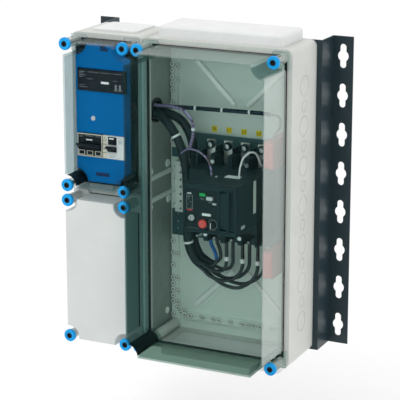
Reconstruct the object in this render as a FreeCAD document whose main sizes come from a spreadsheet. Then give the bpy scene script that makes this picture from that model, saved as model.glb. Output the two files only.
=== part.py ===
"""Wall-mounted insulated enclosure assembly with a motor-operated four-pole breaker.

Three plastic boxes on a 150 mm grid hang on two keyhole rails.  Millimetres, +Z up, the front faces -Y
and the wall is the plane Y = 0.  The origin is the middle of the assembly on the wall plane.
"""
import FreeCAD, Part
import math
import os
import re

import Sketcher
from FreeCAD import Placement, Rotation, Vector

doc = FreeCAD.newDocument("breaker_enclosure")

# Driving dimensions.  Every other size and place is worked out from these.
DIMENSIONS = {
    # enclosure system
    "pitch": 150, "wall_gap": 58, "base_depth": 115, "lid_depth": 55, "deep_extra": 44,
    "shell_wall": 3.5, "floor_wall": 4, "corner_radius": 12, "rim_width": 13, "rim_height": 8,
    "box_gap": 0.2, "screw_inset": 14.5, "pillar_radius": 10, "pillar_bore": 4.3,
    # lids and their fasteners
    "lid_inset": 10.5, "lid_wall": 3, "lid_edge": 2.2, "scoop_radius": 21, "corner_plate": 4,
    "plate_inset": 3, "sleeve_radius": 9.5, "gasket_width": 4, "gasket_height": 3.5,
    "clearance": 0.3, "running_fit": 0.06, "ring_radius": 12, "ring_height": 6, "ring_round": 1.5,
    "shank_radius": 4, "shank_reach": 22, "socket_radius": 4.2, "socket_depth": 4.5,
    # wall rails
    "rail_thick": 2, "rail_overlap": 40, "rail_web": 9, "flange_width": 41,
    "left_rail_shift": 18, "keyhole_pitch": 75,
    "keyhole_length": 45.6, "keyhole_half": 6.15, "keyhole_bulge": 10.7, "keyhole_edge": 20,
    "bolt_radius": 3, "bolt_head": 5.5, "bolt_head_height": 4, "bolt_margin": 38,
    # cable flanges
    "flange_long": 250, "flange_deep": 96, "flange_high": 22, "flange_wall": 3, "flange_round": 6,
    "side_flange_long": 92, "side_flange_deep": 84, "side_flange_high": 15, "blank_thick": 3,
    "flange_frame": 12,
    # boss rows, ribs and knock-outs moulded in the main base
    "row_width": 15, "row_height": 6, "row_pitch": 25, "row_hole": 2, "row_margin": 25,
    "rib_length": 118, "rib_width": 7, "rib_height": 1.6, "rib_apex": 152,
    "knockout_large": 19, "knockout_small": 11, "knockout_groove": 1.3, "knockout_cut": 0.7,
    # cable bush
    "bush_depth": 70, "bush_level": 154, "bush_hole": 21, "bush_bore": 19, "bush_collar": 23.5,
    "collar_thick": 3.5,
    # mounting plate and support strip
    "plate_left": -66, "plate_margin": 16, "plate_top": 70, "plate_low": -104, "plate_thick": 3,
    "plate_stand": 7, "notch_right": -18, "notch_top": 52, "notch_low": -52, "plate_hole": 2.2,
    "strip_left": -48, "strip_width": 25, "strip_depth": 34, "strip_wall": 2.5, "strip_half": 50,
    # four-pole breaker
    "pole_pitch": 35, "breaker_left": 12, "breaker_half": 80.5, "breaker_base": 40,
    "breaker_cover": 46, "breaker_round": 3, "pocket_half": 13, "pocket_floor": 12,
    "pocket_long": 25, "lug_half": 8.5, "lug_thick": 5, "lug_rise": 20, "lug_long": 44,
    "clamp_half": 10, "clamp_deep": 22, "clamp_high": 17, "terminal_screw": 5, "screw_height": 4,
    "barrier_thick": 1.6, "barrier_rise": 11, "barrier_deep": 36, "step_left": 16,
    "chute_thick": 5, "rotor_radius": 9, "rotor_stub": 3,
    # motor operator on the front of the breaker
    "operator_left": 46, "operator_top": 56, "operator_low": -36, "operator_deep": 92,
    "operator_round": 3, "panel_left": 50, "panel_right": 114, "panel_top": 47, "panel_low": -31,
    "panel_recess": 2.5, "panel_thick": 2, "slot_depth": 14, "lever_left": 118, "lever_width": 14,
    "slot_low": -27, "slot_top": 47, "grip_left": 137.5, "grip_width": 11,
    "stop_x": 86, "stop_z": -17, "stop_radius": 8, "button_rise": 4, "button_travel": 3,
    "selector_x": 104, "selector_z": -17.5, "selector_radius": 7.5, "knob_x": 63.8,
    "knob_z": -8, "knob_radius": 5.5, "start_x": 99, "start_z": 31, "start_half_wide": 6,
    "start_half_high": 3, "lever_pivot": -20, "lever_pin": 2,
    # device cover and the modular devices behind it
    "cover_level": 14.5, "cover_thick": 2.5, "cover_inset": 17, "cover_notch": 26,
    "leg_radius": 4, "leg_inset": 45, "rail_high": 35, "rail_lip": 5, "din_thick": 1.2,
    "din_hat": 7.5, "din_foot": 6,
    "module_width": 18, "nose_half": 22.3, "body_half": 42, "device_row": 88.5, "nose_rise": 3,
    "body_drop": 4, "device_margin": 20, "relay_row": 214, "relay_half": 21, "relay_margin": 22,
    "relay_width": 103, "window_gap": 0.6, "din_stand": 66, "toggle_radius": 5,
    "toggle_reach": 9, "toggle_thick": 3.4, "toggle_tilt": 35, "toggle_mouth": 8,
    # terminals
    "fuse_margin": 20, "fuse_width": 17, "fuse_high": 52, "fuse_deep": 112, "fuse_upper": 128,
    "fuse_lower": -80, "label_side": 11, "label_thick": 0.8, "label_row": 113, "label_pitch": 30.8,
    "label_first": 20,
    # wiring
    "sheath_radius": 8.5, "core_radius": 3.4, "core_gap": 0.35, "core_lead": 8,
    "loom_radius": 4, "branch_radius": 2.8,
    "wire_radius": 1.7, "lead_radius": 2.6, "sleeve_wall": 1.7, "tie_wall": 1.1, "tie_width": 4,
}

sheet = doc.addObject("Spreadsheet::Sheet", "Dims")
for row, (alias, number) in enumerate(DIMENSIONS.items(), start=1):
    sheet.set(f"A{row}", alias)
    sheet.set(f"B{row}", str(number))
    sheet.setAlias(f"B{row}", alias)
doc.recompute()

nodes = {}


# ---------------------------------------------------------------- drawing helpers
def bound(text):
    """The expression with every driving dimension named as a cell of the sheet."""
    return re.sub(r"[a-z]\w*", lambda word: "Dims." + word.group(), str(text))


def value(text):
    """What an expression of driving dimensions comes to, in millimetres."""
    return float(sheet.evalExpression(bound(text)))


def place(solid, spot, turn=None):
    """Bind a solid's place to three expressions, and turn it about that place."""
    if turn:
        solid.Placement = Placement(Vector(), turn)
    for letter, text in zip("xyz", spot):
        solid.setExpression("Placement.Base." + letter, bound(text))
    return solid


def block(name, x, y, z):
    """A box between a low and a high plane on each axis."""
    solid = doc.addObject("Part::Box", name)
    for prop, (low, high) in zip(("Length", "Width", "Height"), (x, y, z)):
        solid.setExpression(prop, bound(f"({high}) - ({low})"))
    return place(solid, (x[0], y[0], z[0]))


def rod(name, axis, radius, centre, span):
    """A round bar along one axis; centre gives the other two coordinates in order."""
    solid = doc.addObject("Part::Cylinder", name)
    solid.setExpression("Radius", bound(radius))
    solid.setExpression("Height", bound(f"({span[1]}) - ({span[0]})"))
    turns = {"x": Rotation(Vector(0, 1, 0), 90), "y": Rotation(Vector(1, 0, 0), -90), "z": None}
    first, second = centre
    spots = {"x": (span[0], first, second), "y": (first, span[0], second),
             "z": (first, second, span[0])}
    return place(solid, spots[axis], turns[axis])


def fuse(name, solids):
    joined = doc.addObject("Part::MultiFuse", name)
    joined.Shapes = solids
    joined.Refine = True
    return joined


def common(name, solids):
    shared = doc.addObject("Part::MultiCommon", name)
    shared.Shapes = solids
    shared.Refine = True
    return shared


def gather(name, solids):
    """Several solids kept apart in one shape."""
    several = doc.addObject("Part::Compound", name)
    several.Links = solids
    return several


def cut(name, solid, tools):
    """The solid with each tool taken away; the tools may touch one another."""
    result = doc.addObject("Part::Cut", name)
    result.Base = solid
    result.Tool = tools[0] if len(tools) == 1 else fuse(name + "_tools", tools)
    result.Refine = True
    return result


def rounded(name, solid, radius, pick):
    """The solid with a fillet on every edge that pick accepts."""
    doc.recompute()
    chosen = [number for number, edge in enumerate(solid.Shape.Edges, start=1) if pick(edge)]
    fillet = doc.addObject("Part::Fillet", name)
    fillet.Base = solid
    fillet.Edges = [(number, value(radius), value(radius)) for number in chosen]
    return fillet


def runs_along(axis):
    """Accept straight edges along an axis."""
    def pick(edge):
        if not isinstance(edge.Curve, Part.Line):
            return False
        return abs(abs(edge.Curve.Direction.dot(axis)) - 1) < 1e-6
    return pick


def at_front(level):
    """Accept every edge that lies in the plane Y = level."""
    depth = value(level)
    return lambda edge: abs(edge.BoundBox.YMin - depth) < 1e-4 and abs(edge.BoundBox.YMax - depth) < 1e-4


def turned(name, outline):
    """A body turned about its own Y axis; the outline is a loop of (radius, along) expressions."""
    body = doc.addObject("PartDesign::Body", name)
    plane = [item for item in body.Origin.OriginFeatures if item.Role == "XY_Plane"][0]
    sketch = body.newObject("Sketcher::SketchObject", name + "_outline")
    sketch.AttachmentSupport = (plane, [""])
    sketch.MapMode = "FlatFace"
    corners = [Vector(value(radius), value(along), 0) for radius, along in outline]
    count = len(corners)
    for index in range(count):
        sketch.addGeometry(Part.LineSegment(corners[index], corners[(index + 1) % count]), False)
    for index in range(count):
        sketch.addConstraint(Sketcher.Constraint("Coincident", index, 2, (index + 1) % count, 1))
    for index, texts in enumerate(outline):
        for kind, text, across in (("DistanceX", texts[0], -2), ("DistanceY", texts[1], -1)):
            if str(text) == "0":
                sketch.addConstraint(Sketcher.Constraint("PointOnObject", index, 1, across))
                continue
            spot = sketch.addConstraint(Sketcher.Constraint(kind, -1, 1, index, 1, value(text)))
            sketch.setExpression(f"Constraints[{spot}]", bound(text))
    turn = body.newObject("PartDesign::Revolution", name + "_turned")
    turn.Profile = (sketch, [""])
    turn.ReferenceAxis = (sketch, ["V_Axis"])
    turn.Angle = 360
    return body


def node(name, solid):
    """Name a finished sub-part; the name is its file too."""
    solid.Label = name
    nodes[name] = solid
    return solid


def inset(span, distance):
    """A span drawn in by the same distance at both ends."""
    return f"{span[0]} + ({distance})", f"{span[1]} - ({distance})"


# ---------------------------------------------------------------- planes and outlines
BACK = "-wall_gap"
FLOOR = "-wall_gap - floor_wall"
RIM = "-wall_gap - base_depth"
LID_FOOT = RIM + " - gasket_height - clearance"
FRONT = RIM + " - lid_depth"
DEEP_FRONT = FRONT + " - deep_extra"
RING_SEAT = FRONT + " + ring_height"

BOXES = {
    "main": {"x": ("-pitch / 2", "pitch * 1.5"), "z": ("-pitch * 2", "pitch * 2"), "front": DEEP_FRONT},
    "upper_left": {"x": ("-pitch * 1.5", "-pitch / 2 - box_gap"), "z": ("box_gap", "pitch * 2"),
                   "front": FRONT},
    "lower_left": {"x": ("-pitch * 1.5", "-pitch / 2 - box_gap"), "z": ("-pitch * 2", "-box_gap"),
                   "front": FRONT},
}
CORNERS = {"top_left": (0, 1), "top_right": (1, 1), "bottom_left": (0, 0), "bottom_right": (1, 0)}

BUSH = ("-wall_gap - bush_depth", "bush_level")


def screw_spots(box):
    """The four fastener axes of a box, as (corner, x, z)."""
    across = inset(box["x"], "screw_inset")
    upright = inset(box["z"], "screw_inset")
    return [(corner, across[side], upright[level]) for corner, (side, level) in CORNERS.items()]


def rail_bolt_spots():
    """Where the boxes are bolted to the rails: right rail first, then left rail."""
    right = "pitch * 1.5 - rail_overlap / 2"
    left = "-pitch * 1.5 + rail_overlap / 2"
    high = "pitch * 2 - bolt_margin"
    inner = "bolt_margin"
    return ([(right, level) for level in (high, inner, "-" + inner, "-(" + high + ")")],
            [(left, level) for level in (high, inner, "-" + inner, "-(" + high + ")")])


RIGHT_BOLTS, LEFT_BOLTS = rail_bolt_spots()


# ---------------------------------------------------------------- enclosure bases
def box_shell(name, box):
    """An open tray with a rim turned inwards and a pillar in each corner."""
    x, z = box["x"], box["z"]
    outer = rounded(name + "_outer", block(name + "_blank", x, (RIM, BACK), z), "corner_radius",
                    runs_along(Vector(0, 1, 0)))
    hollow = rounded(name + "_hollow",
                     block(name + "_room", inset(x, "shell_wall"), (RIM + " + rim_height", FLOOR),
                           inset(z, "shell_wall")),
                     "corner_radius - shell_wall", runs_along(Vector(0, 1, 0)))
    mouth = block(name + "_mouth", inset(x, "rim_width"), (RIM + " - 1", RIM + " + rim_height + 1"),
                  inset(z, "rim_width"))
    tray = cut(name + "_tray", outer, [hollow, mouth])
    pillars = [rod(f"{name}_pillar_{corner}", "y", "pillar_radius", (px, pz), (RIM, FLOOR + " + 1"))
               for corner, px, pz in screw_spots(box)]
    bores = [rod(f"{name}_bore_{corner}", "y", "pillar_bore", (px, pz), (RIM + " - 1", FLOOR + " - 8"))
             for corner, px, pz in screw_spots(box)]
    return tray, pillars, bores


def bolt_holes(name, spots):
    """Through holes in a floor for the rail bolts."""
    return [rod(f"{name}_bolt_hole_{index}", "y", "bolt_radius + running_fit", spot,
                (FLOOR + " - 1", BACK + " + 1")) for index, spot in enumerate(spots)]


def flange_opening(name, x, side):
    """The cable opening in a top or bottom wall, under its flange."""
    wall = ("pitch * 2 - shell_wall - 1", "pitch * 2 + 1")
    if side < 0:
        wall = (f"-({wall[1]})", f"-({wall[0]})")
    return block(name, inset(x, "flange_frame"), ("-wall_gap - flange_frame - side_flange_deep + 22",
                                                  "-wall_gap - flange_frame - 6"), wall)


MAIN_FLANGE_X = ("pitch / 2 - flange_long / 2", "pitch / 2 + flange_long / 2")
SIDE_FLANGE_X = ("-pitch - side_flange_long / 2", "-pitch + side_flange_long / 2")
BREAKER_RIGHT = "breaker_left + 4 * pole_pitch"
PLATE_RIGHT = BREAKER_RIGHT + " + plate_margin"
PLATE_BACK = FLOOR + " - plate_stand"
PLATE_FRONT = PLATE_BACK + " - plate_thick"
PLATE_SCREWS = [(x, z) for x in ("plate_left + 62", PLATE_RIGHT + " - 8")
                for z in ("plate_top - 8", "plate_low + 8")]


def boss_rows():
    """Two moulded rows of screw bosses on the floor: one up the left side, one along the bottom."""
    main = BOXES["main"]
    left = f"{main['x'][0]} + shell_wall"
    low = f"{main['z'][0]} + pillar_radius + screw_inset"
    upright = block("row_upright", (left + " + 2", left + " + 2 + row_width"),
                    (FLOOR + " - row_height", FLOOR), (low, f"{main['z'][1]} - row_margin"))
    level = block("row_level", (left + " + 2 + row_width", f"{main['x'][1]} - shell_wall - 30"),
                  (FLOOR + " - row_height", FLOOR), (low, low + " + row_width"))
    holes = []
    for index in range(int(value("(pitch * 4 - row_margin * 3) / row_pitch"))):
        spot = (left + " + 2 + row_width / 2", f"{low} + row_width / 2 + {index} * row_pitch")
        holes.append(rod(f"row_hole_up_{index}", "y", "row_hole", spot,
                         (FLOOR + " - row_height - 1", FLOOR + " - 1")))
    for index in range(int(value("(pitch * 2 - row_margin * 2) / row_pitch"))):
        spot = (f"{left} + 2 + row_width * 1.5 + {index} * row_pitch", low + " + row_width / 2")
        holes.append(rod(f"row_hole_level_{index}", "y", "row_hole", spot,
                         (FLOOR + " - row_height - 1", FLOOR + " - 1")))
    return [upright, level], holes


def floor_ribs():
    """Stiffening ribs: a V above the breaker and the same upside down below it."""
    ribs = []
    for index, (level, angle) in enumerate((("rib_apex", -45), ("rib_apex", -135),
                                            ("-rib_apex - rib_width", 45), ("-rib_apex - rib_width", 135))):
        rib = doc.addObject("Part::Box", f"rib_{index}")
        rib.setExpression("Length", bound("rib_length"))
        rib.setExpression("Width", bound("rib_height + 1"))
        rib.setExpression("Height", bound("rib_width"))
        ribs.append(place(rib, ("pitch / 2", FLOOR + " - rib_height", level),
                          Rotation(Vector(0, 1, 0), angle)))
    return ribs


def knockout_grooves():
    """Shallow ring grooves round the knock-outs of the outer right wall."""
    wall = BOXES["main"]["x"][1]
    span = (wall + " - knockout_cut", wall + " + 1")
    grooves = []
    for index in range(-6, 7):
        radius = "knockout_small" if index % 2 else "knockout_large"
        spot = ("-wall_gap - base_depth / 2", f"{index} * pitch / 4")
        ring = rod(f"groove_outer_{index + 6}", "x", radius, spot, span)
        core = rod(f"groove_core_{index + 6}", "x", radius + " - knockout_groove", spot, span)
        grooves.append(cut(f"groove_{index + 6}", ring, [core]))
    return grooves


def build_bases():
    tray, pillars, bores = box_shell("main", BOXES["main"])
    rows, row_holes = boss_rows()
    stands = [rod(f"stand_{index}", "y", "7", spot, (PLATE_BACK, FLOOR))
              for index, spot in enumerate(PLATE_SCREWS)]
    plate_holes = [rod(f"stand_hole_{index}", "y", "plate_hole", spot, (PLATE_BACK + " - 1", FLOOR))
                   for index, spot in enumerate(PLATE_SCREWS)]
    wall = BOXES["main"]["x"][0]
    cable_hole = rod("main_cable_hole", "x", "bush_hole", BUSH, (wall + " - 1", wall + " + shell_wall + 1"))
    openings = [flange_opening("main_opening_top", MAIN_FLANGE_X, 1),
                flange_opening("main_opening_bottom", MAIN_FLANGE_X, -1)]
    body = fuse("main_moulding", [tray] + pillars + rows + stands + floor_ribs())
    tools = bores + row_holes + plate_holes + knockout_grooves() + [cable_hole] + openings
    holes = gather("main_holes", tools + bolt_holes("main", RIGHT_BOLTS))
    node("main_base", cut("main_base_cut", body, [holes]))

    for name, bolts in (("upper_left", LEFT_BOLTS[:2]), ("lower_left", LEFT_BOLTS[2:])):
        tray, pillars, bores = box_shell(name, BOXES[name])
        tools = bores + bolt_holes(name, bolts)
        if name == "lower_left":
            tools.append(flange_opening(name + "_opening", SIDE_FLANGE_X, -1))
        else:
            wall = BOXES[name]["x"][1]
            tools.append(rod("left_cable_hole", "x", "bush_hole", BUSH,
                             (wall + " - shell_wall - 1", wall + " + 1")))
        node(name + "_base", cut(name + "_base_cut", fuse(name + "_moulding", [tray] + pillars),
                                 [gather(name + "_holes", tools)]))


# ---------------------------------------------------------------- lids, gaskets and fasteners
def scooped(name, box, distance, radius, y):
    """A block inside the outline with a round scoop taken out of each corner."""
    blank = block(name + "_blank", inset(box["x"], distance), y, inset(box["z"], distance))
    long_y = (y[0] + " - 1", y[1] + " + 1")
    scoops = [rod(f"{name}_scoop_{corner}", "y", radius, (px, pz), long_y)
              for corner, px, pz in screw_spots(box)]
    return cut(name, blank, [gather(name + "_scoops", scoops)])


def build_lid(name, box):
    front = box["front"]
    outer = scooped(name + "_form", box, "lid_inset", "scoop_radius", (front, LID_FOOT))
    crown = rounded(name + "_crown", outer, "lid_edge", at_front(front))
    core = scooped(name + "_core", box, "lid_inset + lid_wall", "scoop_radius + lid_wall",
                   (front + " + lid_wall", LID_FOOT + " + 1"))
    shell = cut(name + "_shell", crown, [core])
    plate_y = (LID_FOOT + " - corner_plate", LID_FOOT)
    discs = [rod(f"{name}_disc_{corner}", "y", "scoop_radius + lid_wall / 2", (px, pz), plate_y)
             for corner, px, pz in screw_spots(box)]
    sheet_block = block(name + "_foot", inset(box["x"], "plate_inset"), plate_y,
                        inset(box["z"], "plate_inset"))
    plates = common(name + "_plates", [gather(name + "_discs", discs), sheet_block])
    sleeves = [rod(f"{name}_sleeve_{corner}", "y", "sleeve_radius", (px, pz),
                   (RING_SEAT + " + clearance", LID_FOOT)) for corner, px, pz in screw_spots(box)]
    bores = [rod(f"{name}_guide_{corner}", "y", "shank_radius + running_fit", (px, pz),
                 (RING_SEAT + " - 1", LID_FOOT + " + 1")) for corner, px, pz in screw_spots(box)]
    whole = fuse(name + "_whole", [shell, plates] + sleeves)
    node(name + "_lid", cut(name + "_lid_cut", whole, [gather(name + "_guides", bores)]))


def build_gasket(name, box):
    """The seal under a lid's foot, drawn in round each fastener."""
    span = (RIM + " - gasket_height", RIM)
    outer = scooped(name + "_seal_form", box, "lid_inset - 0.5", "pillar_radius - 2", span)
    core = scooped(name + "_seal_core", box, "lid_inset - 0.5 + gasket_width",
                   "pillar_radius - 2 + gasket_width", (span[0] + " - 1", span[1] + " + 1"))
    return cut(name + "_seal", outer, [core])


def build_fasteners(name, box):
    """Quarter-turn fasteners: a ring head with a socket on a plain shank."""
    outline = [("0", "-ring_height + socket_depth"), ("socket_radius", "-ring_height + socket_depth"),
               ("socket_radius", "-ring_height"), ("ring_radius - ring_round", "-ring_height"),
               ("ring_radius", "-ring_height + ring_round"), ("ring_radius", "0"), ("shank_radius", "0"),
               ("shank_radius", "lid_depth - ring_height + shank_reach"),
               ("0", "lid_depth - ring_height + shank_reach")]
    for corner, px, pz in screw_spots(box):
        fastener = turned(f"{name}_fastener_{corner}_body", outline)
        place(fastener, (px, RING_SEAT, pz))
        node(f"{name}_fastener_{corner}", fastener)


# ---------------------------------------------------------------- rails, bolts and flanges
def build_rail(name, side):
    """A Z-section wall rail with a column of keyholes in its outer flange; side is +1 or -1."""
    edge = "pitch * 1.5" if side > 0 else "pitch * 1.5 - left_rail_shift"
    long_z = ("-pitch * 2", "pitch * 2")

    def across(low, high):
        return (low, high) if side > 0 else (f"-({high})", f"-({low})")

    inner = block(name + "_inner", across(f"{edge} - rail_overlap", f"{edge} + rail_web + rail_thick"),
                  (BACK, BACK + " + rail_thick"), long_z)
    web = block(name + "_web", across(f"{edge} + rail_web", f"{edge} + rail_web + rail_thick"),
                (BACK, "0"), long_z)
    outer = block(name + "_outer_flange", across(f"{edge} + rail_web", f"{edge} + rail_web + flange_width"),
                  ("-rail_thick", "0"), long_z)
    middle = across(f"{edge} + rail_web + flange_width - keyhole_edge", "0")[0 if side > 0 else 1]
    half = "keyhole_length / 2 - keyhole_half"
    cutters = []
    through = ("-rail_thick - 1", "1")
    for index in range(8):
        level = f"({index} - 3.5) * keyhole_pitch"
        tag = f"{name}_keyhole_{index}"
        shapes = [block(tag + "_slot", (f"{middle} - keyhole_half", f"{middle} + keyhole_half"), through,
                        (f"{level} - ({half})", f"{level} + ({half})"))]
        for end, sign in (("top", "+"), ("low", "-")):
            shapes.append(rod(f"{tag}_{end}", "y", "keyhole_half", (middle, f"{level} {sign} ({half})"),
                              through))
        shapes.append(rod(tag + "_bulge", "y", "keyhole_bulge", (middle, level), through))
        cutters.append(fuse(tag, shapes))
    bolts = RIGHT_BOLTS if side > 0 else LEFT_BOLTS
    cutters += [rod(f"{name}_bolt_{index}", "y", "bolt_radius + running_fit", spot,
                    (BACK + " - 1", BACK + " + rail_thick + 1")) for index, spot in enumerate(bolts)]
    section = fuse(name + "_section", [inner, web, outer])
    node(name, cut(name + "_cut", section, [gather(name + "_cutters", cutters)]))


def build_rail_bolts():
    bolts = []
    for index, spot in enumerate(RIGHT_BOLTS + LEFT_BOLTS):
        head = rod(f"rail_bolt_head_{index}", "y", "bolt_head", spot, (FLOOR + " - bolt_head_height", FLOOR))
        shank = rod(f"rail_bolt_shank_{index}", "y", "bolt_radius", spot,
                    (FLOOR + " - 1", BACK + " + rail_thick + 3"))
        bolts.append(fuse(f"rail_bolt_{index}", [head, shank]))
    node("rail_bolts", gather("rail_bolt_set", bolts))


def flange_shell(name, x, deep, high, side):
    """A shallow cap on a top (+1) or bottom (-1) wall, open towards the box."""
    y = (f"-wall_gap - 4 - ({deep})", "-wall_gap - 4")
    outer_z = ("pitch * 2", f"pitch * 2 + {high}")
    inner_z = ("pitch * 2 - 1", f"pitch * 2 + {high} - flange_wall")
    if side < 0:
        outer_z = (f"-({outer_z[1]})", f"-({outer_z[0]})")
        inner_z = (f"-({inner_z[1]})", f"-({inner_z[0]})")
    blank = block(name + "_blank", x, y, outer_z)
    far = value(outer_z[1] if side > 0 else outer_z[0])

    def pick(edge):
        upright = runs_along(Vector(0, 0, 1))(edge)
        outermost = abs(edge.BoundBox.ZMin - far) < 1e-4 and abs(edge.BoundBox.ZMax - far) < 1e-4
        return upright or outermost

    skin = rounded(name + "_skin", blank, "flange_round", pick)
    room = block(name + "_room", inset(x, "flange_frame"), inset(y, "flange_frame"), inner_z)
    return cut(name + "_cap", skin, [room])


def blanking_plate(name):
    """A flat plate on the closed top wall of the upper left box."""
    blank = block(name + "_blank", SIDE_FLANGE_X, ("-wall_gap - 4 - side_flange_deep", "-wall_gap - 4"),
                  ("pitch * 2", "pitch * 2 + blank_thick"))
    return rounded(name, blank, "flange_round", runs_along(Vector(0, 0, 1)))


def build_flanges():
    node("main_flanges", gather("main_flange_set", [
        flange_shell("main_flange_top", MAIN_FLANGE_X, "flange_deep", "flange_high", 1),
        flange_shell("main_flange_bottom", MAIN_FLANGE_X, "flange_deep", "flange_high", -1)]))
    node("side_flanges", gather("side_flange_set", [
        blanking_plate("side_blank"),
        flange_shell("side_flange_bottom", SIDE_FLANGE_X, "side_flange_deep", "side_flange_high", -1)]))


def build_bush():
    """The cable bush through the wall between the upper left box and the main box."""
    right = BOXES["main"]["x"][0] + " + shell_wall"
    left = BOXES["upper_left"]["x"][1] + " - shell_wall"
    barrel = rod("bush_barrel", "x", "bush_hole", BUSH, (left + " - collar_thick", right + " + collar_thick"))
    collars = [rod("bush_collar_right", "x", "bush_collar", BUSH, (right, right + " + collar_thick")),
               rod("bush_collar_left", "x", "bush_collar", BUSH, (left + " - collar_thick", left))]
    bore = rod("bush_bore_cut", "x", "bush_bore", BUSH,
               (left + " - collar_thick - 1", right + " + collar_thick + 1"))
    node("cable_bush", cut("bush_cut", fuse("bush_body", [barrel] + collars), [bore]))


# ---------------------------------------------------------------- mounting plate and support strip
def build_plate():
    y = (PLATE_FRONT, PLATE_BACK)
    blank = block("plate_blank", ("plate_left", PLATE_RIGHT), y, ("plate_low", "plate_top"))
    notch = block("plate_notch", ("plate_left - 1", "notch_right"), (y[0] + " - 1", y[1] + " + 1"),
                  ("notch_low", "notch_top"))
    through = (y[0] + " - 1", y[1] + " + 1")
    holes = [rod(f"plate_hole_{index}", "y", "plate_hole", spot, through)
             for index, spot in enumerate(PLATE_SCREWS)]
    for index in range(3):
        level = f"notch_low - 10 - {index} * 15"
        holes.append(rod(f"plate_row_{index}", "y", "plate_hole", ("plate_left + 12", level), through))
    mounts = breaker_screw_spots()
    holes += [rod(f"plate_tap_{index}", "y", "2", spot, through) for index, spot in enumerate(mounts)]
    node("mounting_plate", cut("plate_cut", blank, [notch, gather("plate_holes", holes)]))
    screws = []
    for index, spot in enumerate(PLATE_SCREWS):
        head = rod(f"plate_screw_head_{index}", "y", "4", spot, (PLATE_FRONT + " - 2.6", PLATE_FRONT))
        shank = rod(f"plate_screw_shank_{index}", "y", "plate_hole - 0.1", spot,
                    (PLATE_FRONT + " - 1", FLOOR + " - 0.5"))
        screws.append(fuse(f"plate_screw_{index}", [head, shank]))
    return screws


def build_support_strip():
    """A folded, perforated strip that stands on the floor beside the breaker."""
    x = ("strip_left", "strip_left + strip_width")
    z = ("-strip_half", "strip_half")
    front = FLOOR + " - strip_depth"
    face = block("strip_face", x, (front, front + " + strip_wall"), z)
    legs = [block("strip_leg_left", ("strip_left", "strip_left + strip_wall"), (front, FLOOR), z),
            block("strip_leg_right", ("strip_left + strip_width - strip_wall", x[1]), (front, FLOOR), z)]
    shape = rounded("strip_round", fuse("strip_fold", [face] + legs), "strip_wall / 2", at_front(front))
    holes = []
    for index in range(7):
        spot = ("strip_left + strip_width / 2", f"-strip_half + strip_half / 7 * (2 * {index} + 1)")
        holes.append(rod(f"strip_hole_{index}", "y", "row_hole + 0.4", spot,
                         (front + " - 1", front + " + strip_wall + 1")))
    node("support_strip", cut("strip_cut", shape, [gather("strip_holes", holes)]))


# ---------------------------------------------------------------- four-pole breaker
BREAKER_X = ("breaker_left", BREAKER_RIGHT)
BREAKER_BACK = PLATE_FRONT
SPLIT = BREAKER_BACK + " - breaker_base"
COVER_FRONT = SPLIT + " - breaker_cover"
STEP_FRONT = SPLIT + " - step_left"
ROTOR_AXIS = (SPLIT + " - 6", "0")
POCKET_BACK = BREAKER_BACK + " - pocket_floor"
OPERATOR_BACK = COVER_FRONT + " - clearance"
OPERATOR_FRONT = COVER_FRONT + " - operator_deep"
PANEL_FACE = OPERATOR_FRONT + " + panel_recess"


def pole_x(index):
    return f"breaker_left + pole_pitch * {index + 0.5}"


def breaker_screw_spots():
    """Four mounting screws, between the outer pairs of poles."""
    return [(f"breaker_left + pole_pitch * {column}", level)
            for column in (1, 3) for level in ("breaker_half - 14", "-breaker_half + 14")]


def terminal_pockets():
    pockets = []
    span = (COVER_FRONT + " - 1", POCKET_BACK)
    ends = {"top": ("breaker_half - pocket_long", "breaker_half + 1"),
            "low": ("-breaker_half - 1", "-breaker_half + pocket_long")}
    for index in range(4):
        x = (f"{pole_x(index)} - pocket_half", f"{pole_x(index)} + pocket_half")
        pockets += [block(f"pocket_{end}_{index}", x, span, z) for end, z in ends.items()]
    return pockets


def build_breaker():
    tall = ("-breaker_half", "breaker_half")
    screws = breaker_screw_spots()
    pockets = gather("terminal_pockets", terminal_pockets())
    room = block("arc_room", inset(BREAKER_X, "4"), (SPLIT + " - 22", BREAKER_BACK + " - 6"), ("-48", "48"))
    screw_holes = gather("breaker_screw_holes", [rod(f"breaker_screw_hole_{index}", "y", "2.1", spot,
                                                     (COVER_FRONT + " - 1", BREAKER_BACK + " + 1"))
                                                 for index, spot in enumerate(screws)])
    rear = rounded("breaker_rear", block("breaker_rear_blank", BREAKER_X, (SPLIT, BREAKER_BACK), tall),
                   "breaker_round", runs_along(Vector(0, 1, 0)))
    node("breaker_base", cut("breaker_base_cut", rear, [pockets, room, screw_holes]))
    blank = rounded("breaker_front", block("breaker_front_blank", BREAKER_X, (COVER_FRONT, SPLIT), tall),
                    "breaker_round", runs_along(Vector(0, 1, 0)))
    front = rounded("breaker_front_edge", blank, "breaker_round - 1", at_front(COVER_FRONT))
    bearing = rod("rotor_bearing", "x", "rotor_stub + running_fit", ROTOR_AXIS, inset(BREAKER_X, "1.7"))
    step = block("terminal_step", inset(BREAKER_X, "-1"), (COVER_FRONT + " - 1", STEP_FRONT),
                 ("breaker_half - pocket_long", "breaker_half + 1"))
    node("breaker_cover", cut("breaker_cover_cut", front, [pockets, room, screw_holes, bearing, step]))
    bolts = []
    for index, spot in enumerate(screws):
        seat = COVER_FRONT if spot[1].startswith("-") else STEP_FRONT
        head = rod(f"breaker_screw_head_{index}", "y", "3.8", spot, (seat + " - 1.6", seat))
        shank = rod(f"breaker_screw_shank_{index}", "y", "1.95", spot, (seat + " - 0.5", PLATE_BACK + " + 2"))
        bolts.append(fuse(f"breaker_screw_{index}", [head, shank]))
    return bolts


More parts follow.
